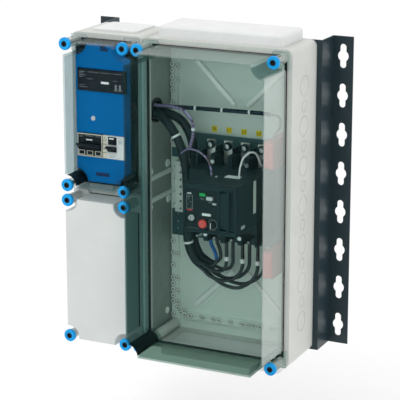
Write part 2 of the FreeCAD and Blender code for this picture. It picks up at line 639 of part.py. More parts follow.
def build_terminals():
    """Copper bars above, box clamps below, and a screw on each."""
    upper, lower, screws, barriers = [], [], [], []
    bar_front = POCKET_BACK + " - 8 - lug_thick"
    for index in range(4):
        x = pole_x(index)
        bar = block(f"bar_{index}", (f"{x} - lug_half", f"{x} + lug_half"), (bar_front, POCKET_BACK + " - 8"),
                    ("breaker_half + lug_rise - lug_long", "breaker_half + lug_rise"))
        foot = block(f"bar_foot_{index}", (f"{x} - lug_half", f"{x} + lug_half"), (bar_front, POCKET_BACK),
                     ("breaker_half + lug_rise - lug_long", "breaker_half - pocket_long + 9"))
        upper.append(fuse(f"upper_lug_{index}", [bar, foot]))
        lower.append(block(f"clamp_{index}", (f"{x} - clamp_half", f"{x} + clamp_half"),
                           (POCKET_BACK + " - clamp_deep", POCKET_BACK),
                           ("-breaker_half + 3", "-breaker_half + 3 + clamp_high")))
        screws.append(rod(f"bar_screw_{index}", "y", "terminal_screw", (x, "breaker_half + lug_rise - 9"),
                          (bar_front + " - screw_height", bar_front)))
        screws.append(rod(f"clamp_screw_{index}", "y", "terminal_screw",
                          (x, "-breaker_half + 3 + clamp_high / 2"),
                          (POCKET_BACK + " - clamp_deep - screw_height", POCKET_BACK + " - clamp_deep")))
    for index in range(1, 4):
        x = f"breaker_left + pole_pitch * {index}"
        barriers.append(block(f"barrier_{index}", (f"{x} - barrier_thick / 2", f"{x} + barrier_thick / 2"),
                              (f"{BREAKER_BACK} - 6 - barrier_deep", BREAKER_BACK + " - 6"),
                              ("breaker_half", "breaker_half + barrier_rise")))
    node("upper_lugs", gather("upper_lug_set", upper))
    node("lower_clamps", gather("lower_clamp_set", lower))
    node("terminal_screws", gather("terminal_screw_set", screws))
    node("phase_barriers", gather("barrier_set", barriers))


def build_breaker_inside():
    """Arc chutes in pairs and the insulating rotor bar that carries the moving contacts."""
    stacks = []
    for index in range(4):
        x = pole_x(index)
        for level, span in (("upper", ("20", "44")), ("lower", ("-44", "-20"))):
            for plate in range(3):
                y = (f"{SPLIT} + 4 + {plate} * 2 * chute_thick",
                     f"{SPLIT} + 4 + ({plate} * 2 + 1) * chute_thick")
                stacks.append(block(f"chute_{index}_{level}_{plate}", (f"{x} - 12", f"{x} + 12"), y, span))
    node("arc_chutes", gather("chute_set", stacks))
    bar = rod("rotor_bar", "x", "rotor_radius", ROTOR_AXIS, inset(BREAKER_X, "5"))
    stubs = rod("rotor_stubs", "x", "rotor_stub", ROTOR_AXIS, inset(BREAKER_X, "2"))
    arms = [block(f"contact_arm_{index}", (f"{pole_x(index)} - 3", f"{pole_x(index)} + 3"),
                  (ROTOR_AXIS[0] + " - 3", ROTOR_AXIS[0] + " + 3"), ("-17", "17")) for index in range(4)]
    node("contact_rotor", fuse("rotor_fused", [bar, stubs] + arms))


# ---------------------------------------------------------------- motor operator
def build_operator():
    x = ("operator_left", BREAKER_X[1])
    z = ("operator_low", "operator_top")
    blank = block("operator_blank", x, (OPERATOR_FRONT, OPERATOR_BACK), z)
    edges = rounded("operator_edges", blank, "operator_round", runs_along(Vector(0, 1, 0)))
    case = rounded("operator_case", edges, "operator_round - 1", at_front(OPERATOR_FRONT))
    recess = block("operator_recess", ("panel_left", "panel_right"),
                   (OPERATOR_FRONT + " - 1", PANEL_FACE + " + panel_thick"), ("panel_low", "panel_top"))
    lever_slot = block("lever_slot", ("lever_left", "lever_left + lever_width"),
                       (OPERATOR_FRONT + " - 1", OPERATOR_FRONT + " + slot_depth"), ("slot_low", "slot_top"))
    grip_slot = block("grip_slot", ("grip_left", "grip_left + grip_width"),
                      (OPERATOR_FRONT + " - 1", OPERATOR_FRONT + " + 6"), ("slot_low", "slot_top"))
    motor_room = block("motor_room", ("operator_left + 6", "operator_left + 64"),
                       (OPERATOR_FRONT + " + 30", OPERATOR_BACK + " - 6"),
                       ("operator_low + 6", "operator_top - 6"))
    wells = control_wells()
    pin_hole = rod("lever_pin_hole", "x", "lever_pin", (LEVER_AXIS, "lever_pivot"),
                   ("lever_left - 3", "lever_left + lever_width + 3"))
    node("operator_case", cut("operator_cut", case, [recess, lever_slot, grip_slot, motor_room, pin_hole]
                              + wells))
    plate = block("panel_plate", inset(("panel_left", "panel_right"), "clearance"),
                  (PANEL_FACE, PANEL_FACE + " + panel_thick"),
                  inset(("panel_low", "panel_top"), "0.1"))
    windows = [block("window_state", ("79", "88.5"), (PANEL_FACE + " - 0.6", PANEL_FACE), ("29", "35")),
               block("window_label", ("82", "98"), (PANEL_FACE + " - 0.6", PANEL_FACE), ("-5", "0.5")),
               block("window_reset", ("94", "104"), (PANEL_FACE + " - 0.6", PANEL_FACE), ("14", "19")),
               block("window_frame", ("52", "66"), (PANEL_FACE + " - 0.6", PANEL_FACE), ("4", "34"))]
    node("control_panel", cut("panel_cut", fuse("panel_whole", [plate] + windows),
                              [gather("panel_wells", control_wells())]))
    motor = rod("motor_can", "z", "18", ("operator_left + 35", OPERATOR_FRONT + " + 54"), ("-24", "30"))
    shaft = rod("motor_shaft", "z", "3", ("operator_left + 35", OPERATOR_FRONT + " + 54"), ("29", "44"))
    node("charging_motor", fuse("motor_fused", [motor, shaft]))


LEVER_AXIS = OPERATOR_FRONT + " + 7"
CONTROLS = {"stop": ("stop_x", "stop_z", "stop_radius"),
            "selector": ("selector_x", "selector_z", "selector_radius"),
            "knob": ("knob_x", "knob_z", "knob_radius")}
STEM_END = PANEL_FACE + " + 14"


def control_wells():
    """Round guides for the turned controls and a square one for the start button."""
    span = (PANEL_FACE + " - 1", STEM_END + " + button_travel + 1")
    wells = [rod(f"{name}_well_{len(doc.Objects)}", "y", "3 + running_fit", (x, z), span)
             for name, (x, z, radius) in CONTROLS.items()]
    start = block(f"start_well_{len(doc.Objects)}",
                  ("start_x - start_half_wide - clearance", "start_x + start_half_wide + clearance"), span,
                  ("start_z - start_half_high - clearance", "start_z + start_half_high + clearance"))
    return wells + [start]


def build_controls():
    """Stop button, mode selector, lock knob, start button and charging lever."""
    rise = "button_travel + button_rise"
    for name, (x, z, radius) in CONTROLS.items():
        outline = [("0", f"-({rise})"), (radius + " - 1", f"-({rise})"), (radius, f"-({rise}) + 1"),
                   (radius, "-button_travel - clearance"), ("3", "-button_travel - clearance"),
                   ("3", "14"), ("0", "14")]
        turned_body = turned(name + "_turned", outline)
        place(turned_body, (x, PANEL_FACE, z))
        if name == "stop":
            node("stop_button", turned_body)
            continue
        bar = block(name + "_bar", (f"{x} - {radius} + 1", f"{x} + {radius} - 1"),
                    (f"{PANEL_FACE} - ({rise}) - 2.5", f"{PANEL_FACE} - ({rise}) + 0.5"),
                    (f"{z} - 1.5", f"{z} + 1.5"))
        if name == "selector":
            bar = block(name + "_grip", (f"{x} - 1.6", f"{x} + 1.6"),
                        (f"{PANEL_FACE} - ({rise}) - 2.5", f"{PANEL_FACE} - ({rise}) + 0.5"),
                        (f"{z} - {radius} + 1", f"{z} + {radius} - 1"))
        node({"selector": "mode_selector", "knob": "lock_knob"}[name],
             fuse(name + "_whole", [turned_body, bar]))
    node("start_button", block("start_key", ("start_x - start_half_wide", "start_x + start_half_wide"),
                               (f"{PANEL_FACE} - button_rise", STEM_END),
                               ("start_z - start_half_high", "start_z + start_half_high")))
    x = ("lever_left + 1", "lever_left + lever_width - 1")
    bar = block("lever_bar", x, (OPERATOR_FRONT + " + 2", OPERATOR_FRONT + " + 8"),
                ("lever_pivot", "slot_top - 3"))
    hub = rod("lever_hub", "x", "5", (LEVER_AXIS, "lever_pivot"), x)
    pin = rod("lever_axle", "x", "lever_pin - running_fit", (LEVER_AXIS, "lever_pivot"),
              ("lever_left - 2.8", "lever_left + lever_width + 2.8"))
    node("charging_lever", fuse("lever_fused", [bar, hub, pin]))


# ---------------------------------------------------------------- upper left box: cover and devices
UPPER = BOXES["upper_left"]
COVER_BACK = RIM + " - cover_level"
COVER_FACE = COVER_BACK + " - cover_thick"
COVER_THROUGH = (COVER_FACE + " - 1", COVER_BACK + " + 1")
COVER_SCREW = ("-pitch - 21", "pitch - 9")
DIN_FRONT = FLOOR + " - din_stand"
RELAY_X = ("-pitch * 1.5 + relay_margin", "-pitch * 1.5 + relay_margin + relay_width")
DEVICE_EDGES = [f"-pitch * 1.5 + device_margin + module_width * {modules}" for modules in (0, 3, 3.5, 5.6)]
DEVICE_X = list(zip(DEVICE_EDGES, DEVICE_EDGES[1:]))


def window(name, x, z):
    return block(name, (f"{x[0]} - window_gap", f"{x[1]} + window_gap"), COVER_THROUGH,
                 (f"{z[0]} - window_gap", f"{z[1]} + window_gap"))


def build_device_cover():
    blank = scooped("cover_form", UPPER, "cover_inset", "cover_notch", (COVER_FACE, COVER_BACK))
    windows = [window("relay_window", RELAY_X, ("relay_row - relay_half", "relay_row + relay_half")),
               window("device_window", (DEVICE_X[0][0], DEVICE_X[2][1]),
                      ("device_row - nose_half", "device_row + nose_half")),
               block("cover_latch_slot", ("-pitch - 6", "-pitch + 6"), COVER_THROUGH,
                     ("pitch * 2 - cover_inset - 6", "pitch * 2 - cover_inset - 2"))]
    legs = []
    for column in inset(UPPER["x"], "leg_inset"):
        for level in inset(UPPER["z"], "cover_inset + leg_radius + 2"):
            legs.append(rod(f"cover_leg_{len(legs)}", "y", "leg_radius", (column, level),
                            (COVER_BACK + " - 1", FLOOR)))
    screw_hole = rod("cover_screw_hole", "y", "2.4", COVER_SCREW, COVER_THROUGH)
    whole = fuse("cover_whole", [cut("cover_plate", blank, windows)] + legs)
    node("device_cover", cut("cover_cut", whole, [screw_hole]))
    head = rod("cover_screw_head", "y", "4.5", COVER_SCREW, (COVER_FACE + " - 2", COVER_FACE))
    shank = rod("cover_screw_shank", "y", "2.3", COVER_SCREW, (COVER_FACE + " - 1", COVER_BACK + " + 16"))
    node("cover_screw", fuse("cover_screw_fused", [head, shank]))


def din_rail(name, x, level, stand):
    """A top-hat rail on two feet; its front lips carry the devices."""
    front = f"{FLOOR} - {stand}"
    low, top = f"{level} - rail_high / 2", f"{level} + rail_high / 2"
    hat_low, hat_top = low + " + rail_lip", top + " - rail_lip"
    back_face = front + " + din_hat"
    lips = [block(f"{name}_lip_{index}", x, (front, front + " + din_thick"), span)
            for index, span in enumerate(((low, hat_low), (hat_top, top)))]
    sides = [block(f"{name}_side_{index}", x, (front, back_face), span)
             for index, span in enumerate(((hat_low + " - din_thick", hat_low),
                                           (hat_top, hat_top + " + din_thick")))]
    back = block(f"{name}_back", x, (back_face + " - din_thick", back_face),
                 (hat_low + " - din_thick", hat_top + " + din_thick"))
    feet = [block(f"{name}_foot_{index}", span, (back_face + " - din_thick", FLOOR),
                  (f"{level} - din_foot", f"{level} + din_foot"))
            for index, span in enumerate(((x[0], x[0] + " + 8"), (x[1] + " - 8", x[1])))]
    return fuse(name, lips + sides + [back] + feet)


def build_devices():
    rail_x = inset(UPPER["x"], "rim_width + 1")
    node("din_rails", gather("din_rail_set", [
        din_rail("relay_rail", rail_x, "relay_row", "din_stand"),
        din_rail("device_rail", rail_x, "device_row", "din_stand"),
        din_rail("spare_rail", rail_x, "-pitch", "12")]))
    relay_body = block("relay_body", inset(RELAY_X, "1"), (COVER_BACK + " + body_drop", DIN_FRONT),
                       ("relay_row - body_half", "relay_row + body_half"))
    relay_nose = block("relay_nose", RELAY_X, (COVER_FACE + " - nose_rise", COVER_BACK + " + body_drop + 1"),
                       ("relay_row - relay_half", "relay_row + relay_half"))
    relay_edge = rounded("relay_edge", relay_nose, "1.2", at_front(COVER_FACE + " - nose_rise"))
    node("protection_relay", fuse("relay_fused", [relay_body, relay_edge]))
    for index, name in enumerate(("three_pole_breaker", "auxiliary_switch", "residual_switch")):
        x = inset(DEVICE_X[index], "0.1")
        body = block(name + "_body", x, (COVER_BACK + " + body_drop", DIN_FRONT),
                     ("device_row - body_half", "device_row + body_half"))
        nose = block(name + "_nose", x, (COVER_FACE + " - nose_rise", COVER_BACK + " + body_drop + 1"),
                     ("device_row - nose_half", "device_row + nose_half"))
        edge = rounded(name + "_edge", nose, "1", at_front(COVER_FACE + " - nose_rise"))
        case = fuse(name + "_case", [body, edge])
        if name == "auxiliary_switch":
            node(name, case)
            continue
        node(name, cut(name + "_slotted", case, [toggle_room(name, TOGGLE_X[index])]))


TOGGLE_Y = COVER_FACE + " - nose_rise + 2"
TOGGLE_Z = "device_row - 4"
TOGGLE_X = {0: inset(DEVICE_X[0], "2.4"),
            2: (DEVICE_EDGES[2] + " + 2.4", DEVICE_EDGES[2] + " + 2.4 + module_width")}


def toggle_room(name, x):
    """The slot that a toggle swings in: a round seat with a wide mouth."""
    across = inset(x, "-0.4")
    seat = rod(name + "_toggle_seat", "x", "toggle_radius + clearance", (TOGGLE_Y, TOGGLE_Z), across)
    mouth = block(name + "_toggle_mouth", across, (COVER_FACE + " - nose_rise - 1", TOGGLE_Y),
                  (TOGGLE_Z + " - toggle_mouth", TOGGLE_Z + " + toggle_mouth"))
    return fuse(name + "_toggle_room", [seat, mouth])


def build_toggles():
    """Tied toggle levers on the modular devices; they point up when the device is on."""
    for name, index in (("three_pole_toggle", 0), ("residual_toggle", 2)):
        x = TOGGLE_X[index]
        barrel = rod(name + "_barrel", "x", "toggle_radius", (TOGGLE_Y, TOGGLE_Z), x)
        lever = doc.addObject("Part::Box", name + "_lever")
        lever.setExpression("Length", bound(f"({x[1]}) - ({x[0]})"))
        lever.setExpression("Width", bound("toggle_radius + toggle_reach"))
        lever.setExpression("Height", bound("toggle_thick"))
        tilt = Rotation(Vector(1, 0, 0), 180 - value("toggle_tilt"))
        node(name, fuse(name + "_fused", [barrel, place(lever, (x[0], TOGGLE_Y, TOGGLE_Z), tilt)]))


# ---------------------------------------------------------------- small terminals and labels
def build_terminals_and_labels():
    left = UPPER["x"][1] + " - shell_wall - collar_thick - 28"
    blocks = [block("incoming_block", (left + " - 22", left), (FLOOR + " - 100", FLOOR),
                    ("bush_level - 21", "bush_level + 16"))]
    for index, top in enumerate(("fuse_upper", "fuse_lower")):
        x = (BREAKER_RIGHT + " + fuse_margin", BREAKER_RIGHT + " + fuse_margin + fuse_width")
        blank = block(f"fuse_blank_{index}", x, (FLOOR + " - fuse_deep", FLOOR), (top + " - fuse_high", top))
        blocks.append(rounded(f"fuse_{index}", blank, "6", runs_along(Vector(1, 0, 0))))
    node("terminal_blocks", gather("terminal_block_set", blocks))
    labels = [block(f"label_{index}", (f"label_first + {index} * label_pitch - label_side / 2",
                                       f"label_first + {index} * label_pitch + label_side / 2"),
                    (FLOOR + " - label_thick", FLOOR),
                    ("label_row - label_side / 2", "label_row + label_side / 2"))
              for index in range(4)]
    node("phase_labels", gather("label_set", labels))


# ---------------------------------------------------------------- wiring
def tube(name, radius, route):
    """A round cable along straight runs joined by tangent arcs as large as the runs allow."""
    points = [Vector(*point) for point in route]
    edges, start, radii = [], points[0], []
    for before, corner, after in zip(points, points[1:], points[2:]):
        way_in = (corner - before).normalize()
        way_out = (after - corner).normalize()
        turn = way_in.getAngle(way_out)
        shorter = min((corner - before).Length, (after - corner).Length)
        bend = 0.45 * shorter / math.tan(turn / 2)
        radii.append(bend)
        reach = 0.45 * shorter
        arc_start = corner - way_in * reach
        arc_end = corner + way_out * reach
        middle_way = (way_out - way_in).normalize()
        middle = corner + middle_way * (math.hypot(bend, reach) - bend)
        edges.append(Part.LineSegment(start, arc_start).toShape())
        edges.append(Part.Arc(arc_start, middle, arc_end).toShape())
        start = arc_end
    edges.append(Part.LineSegment(start, points[-1]).toShape())
    path = Part.Wire(edges)
    way = (points[1] - points[0]).normalize()
    ring = Part.Wire(Part.makeCircle(radius, points[0], way))
    solid = path.makePipeShell([ring], True, False, 1)
    if solid.Volume < 0:
        solid.reverse()
    ratio = solid.Volume / (math.pi * radius ** 2 * path.Length)
    print(f"{name}: length {path.Length:.0f} mm, least radius {min(radii):.0f} mm, volume ratio {ratio:.4f}")
    if not solid.isValid() or abs(ratio - 1) > 0.01:
        raise RuntimeError("cable " + name + " did not sweep cleanly")
    return solid


def wiring(name, solids):
    """A sub-part made of swept cables."""
    feature = doc.addObject("Part::Feature", name + "_swept")
    feature.Shape = solids[0] if len(solids) == 1 else Part.makeCompound(solids)
    node(name, feature)


def ring_on(start, end, inner, outer, long):
    """A short round band that sits round a cable, centred between two points of its run."""
    first, second = Vector(*start), Vector(*end)
    way = (second - first).normalize()
    middle = (first + second) * 0.5 - way * (long / 2)
    return Part.makeCylinder(outer, long, middle, way).cut(Part.makeCylinder(inner, long, middle, way))


BUSH_Y = value(BUSH[0])
BUSH_Z = value(BUSH[1])
BLOCK_X = value(UPPER["x"][1] + " - shell_wall - collar_thick - 28")
SHEATHS = [
    [(BLOCK_X, BUSH_Y - 9, BUSH_Z - 5), (-58, BUSH_Y - 9, BUSH_Z - 5), (-32, -142, 128), (-12, -142, 95),
     (-3, -138, 55), (-4, -132, 8), (-6, -127, -40), (-8, -124, -84), (-4, -122, -112), (8, -121, -133),
     (21, -121, -141)],
    [(BLOCK_X, BUSH_Y + 9, BUSH_Z - 5), (-52, BUSH_Y + 9, BUSH_Z - 5), (-22, -117, 138), (-4, -114, 108),
     (1, -110, 66), (-1, -108, 18), (-4, -106, -30), (-6, -104, -80), (-3, -102, -108), (8, -101, -130),
     (21, -101, -138)],
]


def sheath_end(route):
    """The straight starts of four conductors, square to a sheath's end: upper pair, then lower pair."""
    before, end = Vector(*route[-2]), Vector(*route[-1])
    way = (end - before).normalize()
    level = Vector(0, 1, 0)
    rise = way.cross(level) * -1
    if rise.z < 0:
        rise = rise * -1
    gap = value("core_radius + core_gap")
    spots = [end + level * (gap * side) + rise * (gap * up) for up in (1, -1) for side in (-1, 1)]
    return [[tuple(spot + way * value("clearance")), tuple(spot + way * value("core_lead"))]
            for spot in spots]


def build_wiring():
    core = value("core_radius")
    sheath = value("sheath_radius")
    wiring("supply_cables", [tube(f"supply_cable_{index}", sheath, route)
                             for index, route in enumerate(SHEATHS)])
    front, rear = (sheath_end(route) for route in SHEATHS)
    front_y, rear_y = -102, -91
    clamp = value("-breaker_half + 3")
    riser_foot = -139
    risers = [(64.5, front_y), (98, front_y), (129.5, front_y),
              (73, rear_y), (107.5, rear_y), (138.5, rear_y)]
    loops = [
        [*front[0], (41, -123, -147), (52, -114.5, -152.5), (61, -106, -150.5)],
        [*front[2], (39, -127.5, -158), (63, -121, -168), (84, -110, -164), (95, -104, -151)],
        [*front[3], (40, -116.5, -163), (66, -115, -178), (93, -111, -182), (115, -106, -169),
         (127, -103, -152)],
        [*rear[0], (43, -103.5, -146), (57, -99, -152), (69, -94, -149)],
        [*rear[2], (39, -108, -158), (66, -106, -167), (90, -99, -163), (103, -93, -151)],
        [*rear[3], (42, -97, -162), (70, -96.5, -175), (96, -94, -178), (120, -92, -167), (134, -91, -152)],
    ]
    phases = [loop + [(x, y, riser_foot), (x, y, clamp)] for loop, (x, y) in zip(loops, risers)]
    neutrals = [[*front[1], (40, -115, -144), (49, -111, -134), (43, -106, -117), (31, front_y, -103),
                 (31, front_y, clamp)],
                [*rear[1], (40, -95.5, -141), (49, -93, -131), (46, -91.5, -114), (38.5, rear_y, -100),
                 (38.5, rear_y, clamp)]]
    cores = [tube(f"phase_core_{index}", core, route) for index, route in enumerate(phases)]
    cores += [tube(f"neutral_core_{index}", core, route) for index, route in enumerate(neutrals)]
    wiring("breaker_conductors", cores)
    thick = core + value("sleeve_wall")
    sleeve_level, sleeve_long = 11, 8
    sleeves = [ring_on((x, y, riser_foot), (x, y, riser_foot + 2 * sleeve_level), core, thick, sleeve_long)
               for x, y in risers[:3]]

    loom = value("loom_radius")
    loom_route = [(BLOCK_X, BUSH_Y, BUSH_Z + 9), (-60, BUSH_Y, BUSH_Z + 9), (-26, -106, 159), (22, -96, 158),
                  (80, -93, 159), (136, -97, 161), (152, -104, 162)]
    wiring("control_loom", [tube("control_loom", loom, loom_route)])
    lead_route = [(152.2, -104, 162), (170, -112, 164.5), (183, -126, 160), (188, -140, 148),
                  (182, -150, 138), (181, -150, 128.3)]
    branch_route = [(BLOCK_X, BUSH_Y - 9, BUSH_Z + 11.5), (-62, BUSH_Y - 9, BUSH_Z + 11.5), (-30, -141, 168),
                    (-2, -144, 162), (16, -147, 143), (17, -149, 116), (10, -151, 92)]
    wire = value("wire_radius")
    violet = [(-4, -158, 84), (14, -166, 97), (42, -176, 97), (66, -184, 84), (74, -190, 66),
              (75, -192, 56.3)]
    white = [(148.5, -129, 70), (148.8, -138, 75), (149, -146, 88), (147, -156, 101), (140, -166, 103),
             (131, -176, 94), (128, -184, 74), (128, -186, 56.3)]
    wiring("signal_wires", [tube("sensor_lead", value("lead_radius"), lead_route),
                            tube("branch_wires", value("branch_radius"), branch_route),
                            tube("violet_wire", wire, violet), tube("white_wire", wire, white)])
    build_ties(loom_route, branch_route, sleeves)


def build_ties(loom_route, branch_route, sleeves):
    """Ties round the cables, and the printed sleeves on the phase conductors."""
    wall = value("tie_wall")
    wide = value("tie_width")
    loom = value("loom_radius")
    branch = value("branch_radius")
    sheath = value("sheath_radius")
    ties = [ring_on(loom_route[index], loom_route[index + 1], loom, loom + wall, wide) for index in (2, 3, 4)]
    ties += [ring_on(branch_route[4], branch_route[5], branch, branch + wall, wide),
             ring_on(SHEATHS[0][2], SHEATHS[0][3], sheath, sheath + wall, wide),
             ring_on(SHEATHS[0][7], SHEATHS[0][8], sheath, sheath + wall, wide)]
    wiring("cable_ties", ties + sleeves)


# ---------------------------------------------------------------- build everything
build_bases()
for box_name, box in BOXES.items():
    build_lid(box_name, box)
    build_fasteners(box_name, box)
node("lid_gaskets", gather("gasket_set", [build_gasket(box_name, box) for box_name, box in BOXES.items()]))
build_rail("right_rail", 1)
build_rail("left_rail", -1)
build_rail_bolts()
build_flanges()
build_bush()
plate_screws = build_plate()
build_support_strip()
breaker_screws = build_breaker()
node("mounting_screws", gather("mounting_screw_set", plate_screws + breaker_screws))
build_terminals()
build_breaker_inside()
build_operator()
build_controls()
build_device_cover()
build_devices()
build_toggles()
build_terminals_and_labels()
build_wiring()
doc.recompute()

for item in doc.Objects:
    if "Invalid" in item.State or "Error" in item.State:
        raise RuntimeError(f"{item.Name} failed: {item.State}")
for name, item in nodes.items():
    if item.Shape.isNull() or not item.Shape.isValid() or not item.Shape.Solids:
        raise RuntimeError(f"{name} has no valid solid")

os.makedirs("parts", exist_ok=True)
for name, item in nodes.items():
    item.Shape.exportStep(f"parts/{name}.step")
print(len(nodes), "nodes")
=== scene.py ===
"""Looks for the wall-mounted switchgear assembly: camera, light, materials and small surface pieces.

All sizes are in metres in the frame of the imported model: X right, Z up, the front faces -Y.
"""
import math

import bpy
import bmesh
from mathutils import Matrix, Vector


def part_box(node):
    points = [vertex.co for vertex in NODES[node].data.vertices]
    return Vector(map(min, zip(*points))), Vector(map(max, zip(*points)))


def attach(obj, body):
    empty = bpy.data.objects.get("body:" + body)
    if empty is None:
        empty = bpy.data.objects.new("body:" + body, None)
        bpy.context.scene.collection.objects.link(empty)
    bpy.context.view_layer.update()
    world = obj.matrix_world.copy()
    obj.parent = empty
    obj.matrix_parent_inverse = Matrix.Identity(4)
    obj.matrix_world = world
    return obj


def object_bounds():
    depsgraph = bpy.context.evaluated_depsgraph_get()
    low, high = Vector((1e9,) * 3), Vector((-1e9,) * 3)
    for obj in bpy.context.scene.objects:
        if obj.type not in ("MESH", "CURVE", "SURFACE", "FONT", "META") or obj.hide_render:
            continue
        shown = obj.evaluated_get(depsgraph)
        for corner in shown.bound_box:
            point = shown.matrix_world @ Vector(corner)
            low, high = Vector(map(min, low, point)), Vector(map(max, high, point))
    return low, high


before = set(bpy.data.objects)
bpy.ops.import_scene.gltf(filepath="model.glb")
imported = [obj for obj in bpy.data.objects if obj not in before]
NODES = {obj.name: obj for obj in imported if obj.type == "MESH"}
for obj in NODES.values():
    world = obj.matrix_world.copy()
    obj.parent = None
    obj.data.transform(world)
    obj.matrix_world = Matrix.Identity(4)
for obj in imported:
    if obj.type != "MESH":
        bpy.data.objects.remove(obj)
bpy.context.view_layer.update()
MM = 0.001


# ---------------------------------------------------------------- camera, floor and light
CAMERA_PLACE = (1.415, -3.018, 0.881)
CAMERA_YAW = 25.75
CAMERA_DIP = 14.24
FOCAL_SHARE = 4.415          # focal length as a share of the sensor's width
LENS_SHIFT = -0.1            # vertical shift of the lens as a share of the sensor's width
SENSOR = 36                  # sensor width in millimetres


def make_camera():
    """The camera that looks at the front and the right side from a little above."""
    data = bpy.data.cameras.new("camera")
    data.sensor_width = SENSOR
    data.lens = SENSOR * FOCAL_SHARE
    data.shift_y = LENS_SHIFT
    camera = bpy.data.objects.new("camera", data)
    camera.location = CAMERA_PLACE
    camera.rotation_euler = (math.radians(90 - CAMERA_DIP), 0, math.radians(CAMERA_YAW))
    bpy.context.scene.collection.objects.link(camera)
    bpy.context.scene.camera = camera


def area_light(name, place, target, size, watts):
    data = bpy.data.lights.new(name, "AREA")
    data.shape = "RECTANGLE"
    data.size, data.size_y = size
    data.energy = watts
    lamp = bpy.data.objects.new(name, data)
    lamp.location = place
    lamp.rotation_euler = (Vector(target) - Vector(place)).to_track_quat("-Z", "Y").to_euler()
    bpy.context.scene.collection.objects.link(lamp)


def make_stage():
    """A plain pale floor under the object, and soft light all round."""
    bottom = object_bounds()[0][2]
    reach, drop = 6, 0.2
    mesh = bpy.data.meshes.new("floor")
    mesh.from_pydata([(-reach, -reach, 0), (reach, -reach, 0), (reach, reach, 0), (-reach, reach, 0)],
                     [], [(0, 1, 2, 3)])
    floor = bpy.data.objects.new("floor", mesh)
    floor.location.z = bottom - drop
    bpy.context.scene.collection.objects.link(floor)
    floor.data.materials.append(plain("floor_pale", (0.97, 0.97, 0.97), 0.9))

    world = bpy.data.worlds.new("studio")
    bpy.context.scene.world = world
    world.use_nodes = True
    background = world.node_tree.nodes["Background"]
    background.inputs["Color"].default_value = (1, 1, 1, 1)
    background.inputs["Strength"].default_value = 1.03
    bpy.context.scene.view_settings.view_transform = "Standard"
    area_light("key", place=(-0.7, -1.9, 3.0), target=(0, -0.15, 0), size=(1.2, 1.2), watts=14)
    area_light("side", place=(2.6, 0.4, 0.6), target=(0.2, -0.1, 0), size=(1.0, 2.4), watts=3)


# ---------------------------------------------------------------- materials
class Tree:
    """Short names for building a node tree."""

    def __init__(self, name):
        self.material = bpy.data.materials.new(name)
        self.material.use_nodes = True
        self.nodes = self.material.node_tree.nodes
        self.links = self.material.node_tree.links
        self.shader = self.nodes["Principled BSDF"]
        self.output = self.nodes["Material Output"]

    def add(self, kind, **inputs):
        made = self.nodes.new(kind)
        for key, item in inputs.items():
            made.inputs[key.replace("_", " ")].default_value = item
        return made

    def link(self, source, target):
        self.links.new(source, target)

    def place(self):
        """Where a point is in the piece's own coordinates, in metres."""
        return self.add("ShaderNodeTexCoord").outputs["Object"]

    def noise(self, scale, detail=3, roughness=0.55):
        made = self.add("ShaderNodeTexNoise", Scale=scale, Detail=detail, Roughness=roughness)
        self.link(self.place(), made.inputs["Vector"])
        return made.outputs["Fac"]

    def ramp(self, factor, stops):
        made = self.nodes.new("ShaderNodeValToRGB")
        while len(made.color_ramp.elements) < len(stops):
            made.color_ramp.elements.new(0.5)
        for element, (spot, colour) in zip(made.color_ramp.elements, stops):
            element.position = spot
            element.color = colour if len(colour) == 4 else (*colour, 1)
        self.link(factor, made.inputs["Fac"])
        return made.outputs["Color"]

    def mix(self, factor, first, second):
        made = self.nodes.new("ShaderNodeMix")
        made.data_type = "RGBA"
        for slot, item in ((0, factor), (6, first), (7, second)):
            if isinstance(item, (tuple, float, int)):
                made.inputs[slot].default_value = (*item, 1) if isinstance(item, tuple) else item
            else:
                self.link(item, made.inputs[slot])
        return made.outputs[2]

    def maths(self, operation, *terms, clamp=False):
        made = self.nodes.new("ShaderNodeMath")
        made.operation = operation
        made.use_clamp = clamp
        for slot, term in zip(made.inputs, terms):
            if isinstance(term, (float, int)):
                slot.default_value = term
            else:
                self.link(term, slot)
        return made.outputs[0]

    def axis(self, name):
        """One coordinate of the place, in metres."""
        made = self.nodes.new("ShaderNodeSeparateXYZ")
        self.link(self.place(), made.inputs[0])
        return made.outputs[name]

    def edges(self, radius):
        """The rounded normal, and how much a point is on an edge."""
        bevel = self.nodes.new("ShaderNodeBevel")
        bevel.samples = 4
        bevel.inputs["Radius"].default_value = radius
        dot = self.nodes.new("ShaderNodeVectorMath")
        dot.operation = "DOT_PRODUCT"
        self.link(bevel.outputs[0], dot.inputs[0])
        self.link(self.add("ShaderNodeNewGeometry").outputs["Normal"], dot.inputs[1])
        edge = self.maths("MULTIPLY", self.maths("SUBTRACT", 1.0, dot.outputs["Value"]), 6.0, clamp=True)
        return bevel.outputs[0], edge

    def bump(self, height, strength, distance, normal=None):
        made = self.add("ShaderNodeBump", Strength=strength, Distance=distance)
        self.link(height, made.inputs["Height"])
        if normal is not None:
            self.link(normal, made.inputs["Normal"])
        self.link(made.outputs[0], self.shader.inputs["Normal"])


def shaded(colour, share):
    """The colour made lighter or darker, kept within white."""
    return tuple(min(1.0, channel * share) for channel in colour)


def plain(name, colour, roughness):
    """Matt surface with barely visible clouds."""
    tree = Tree(name)
    tint = tree.ramp(tree.noise(3.0), [(0.3, shaded(colour, 0.985)), (0.7, colour)])
    tree.link(tint, tree.shader.inputs["Base Color"])
    tree.shader.inputs["Roughness"].default_value = roughness
    return tree.material


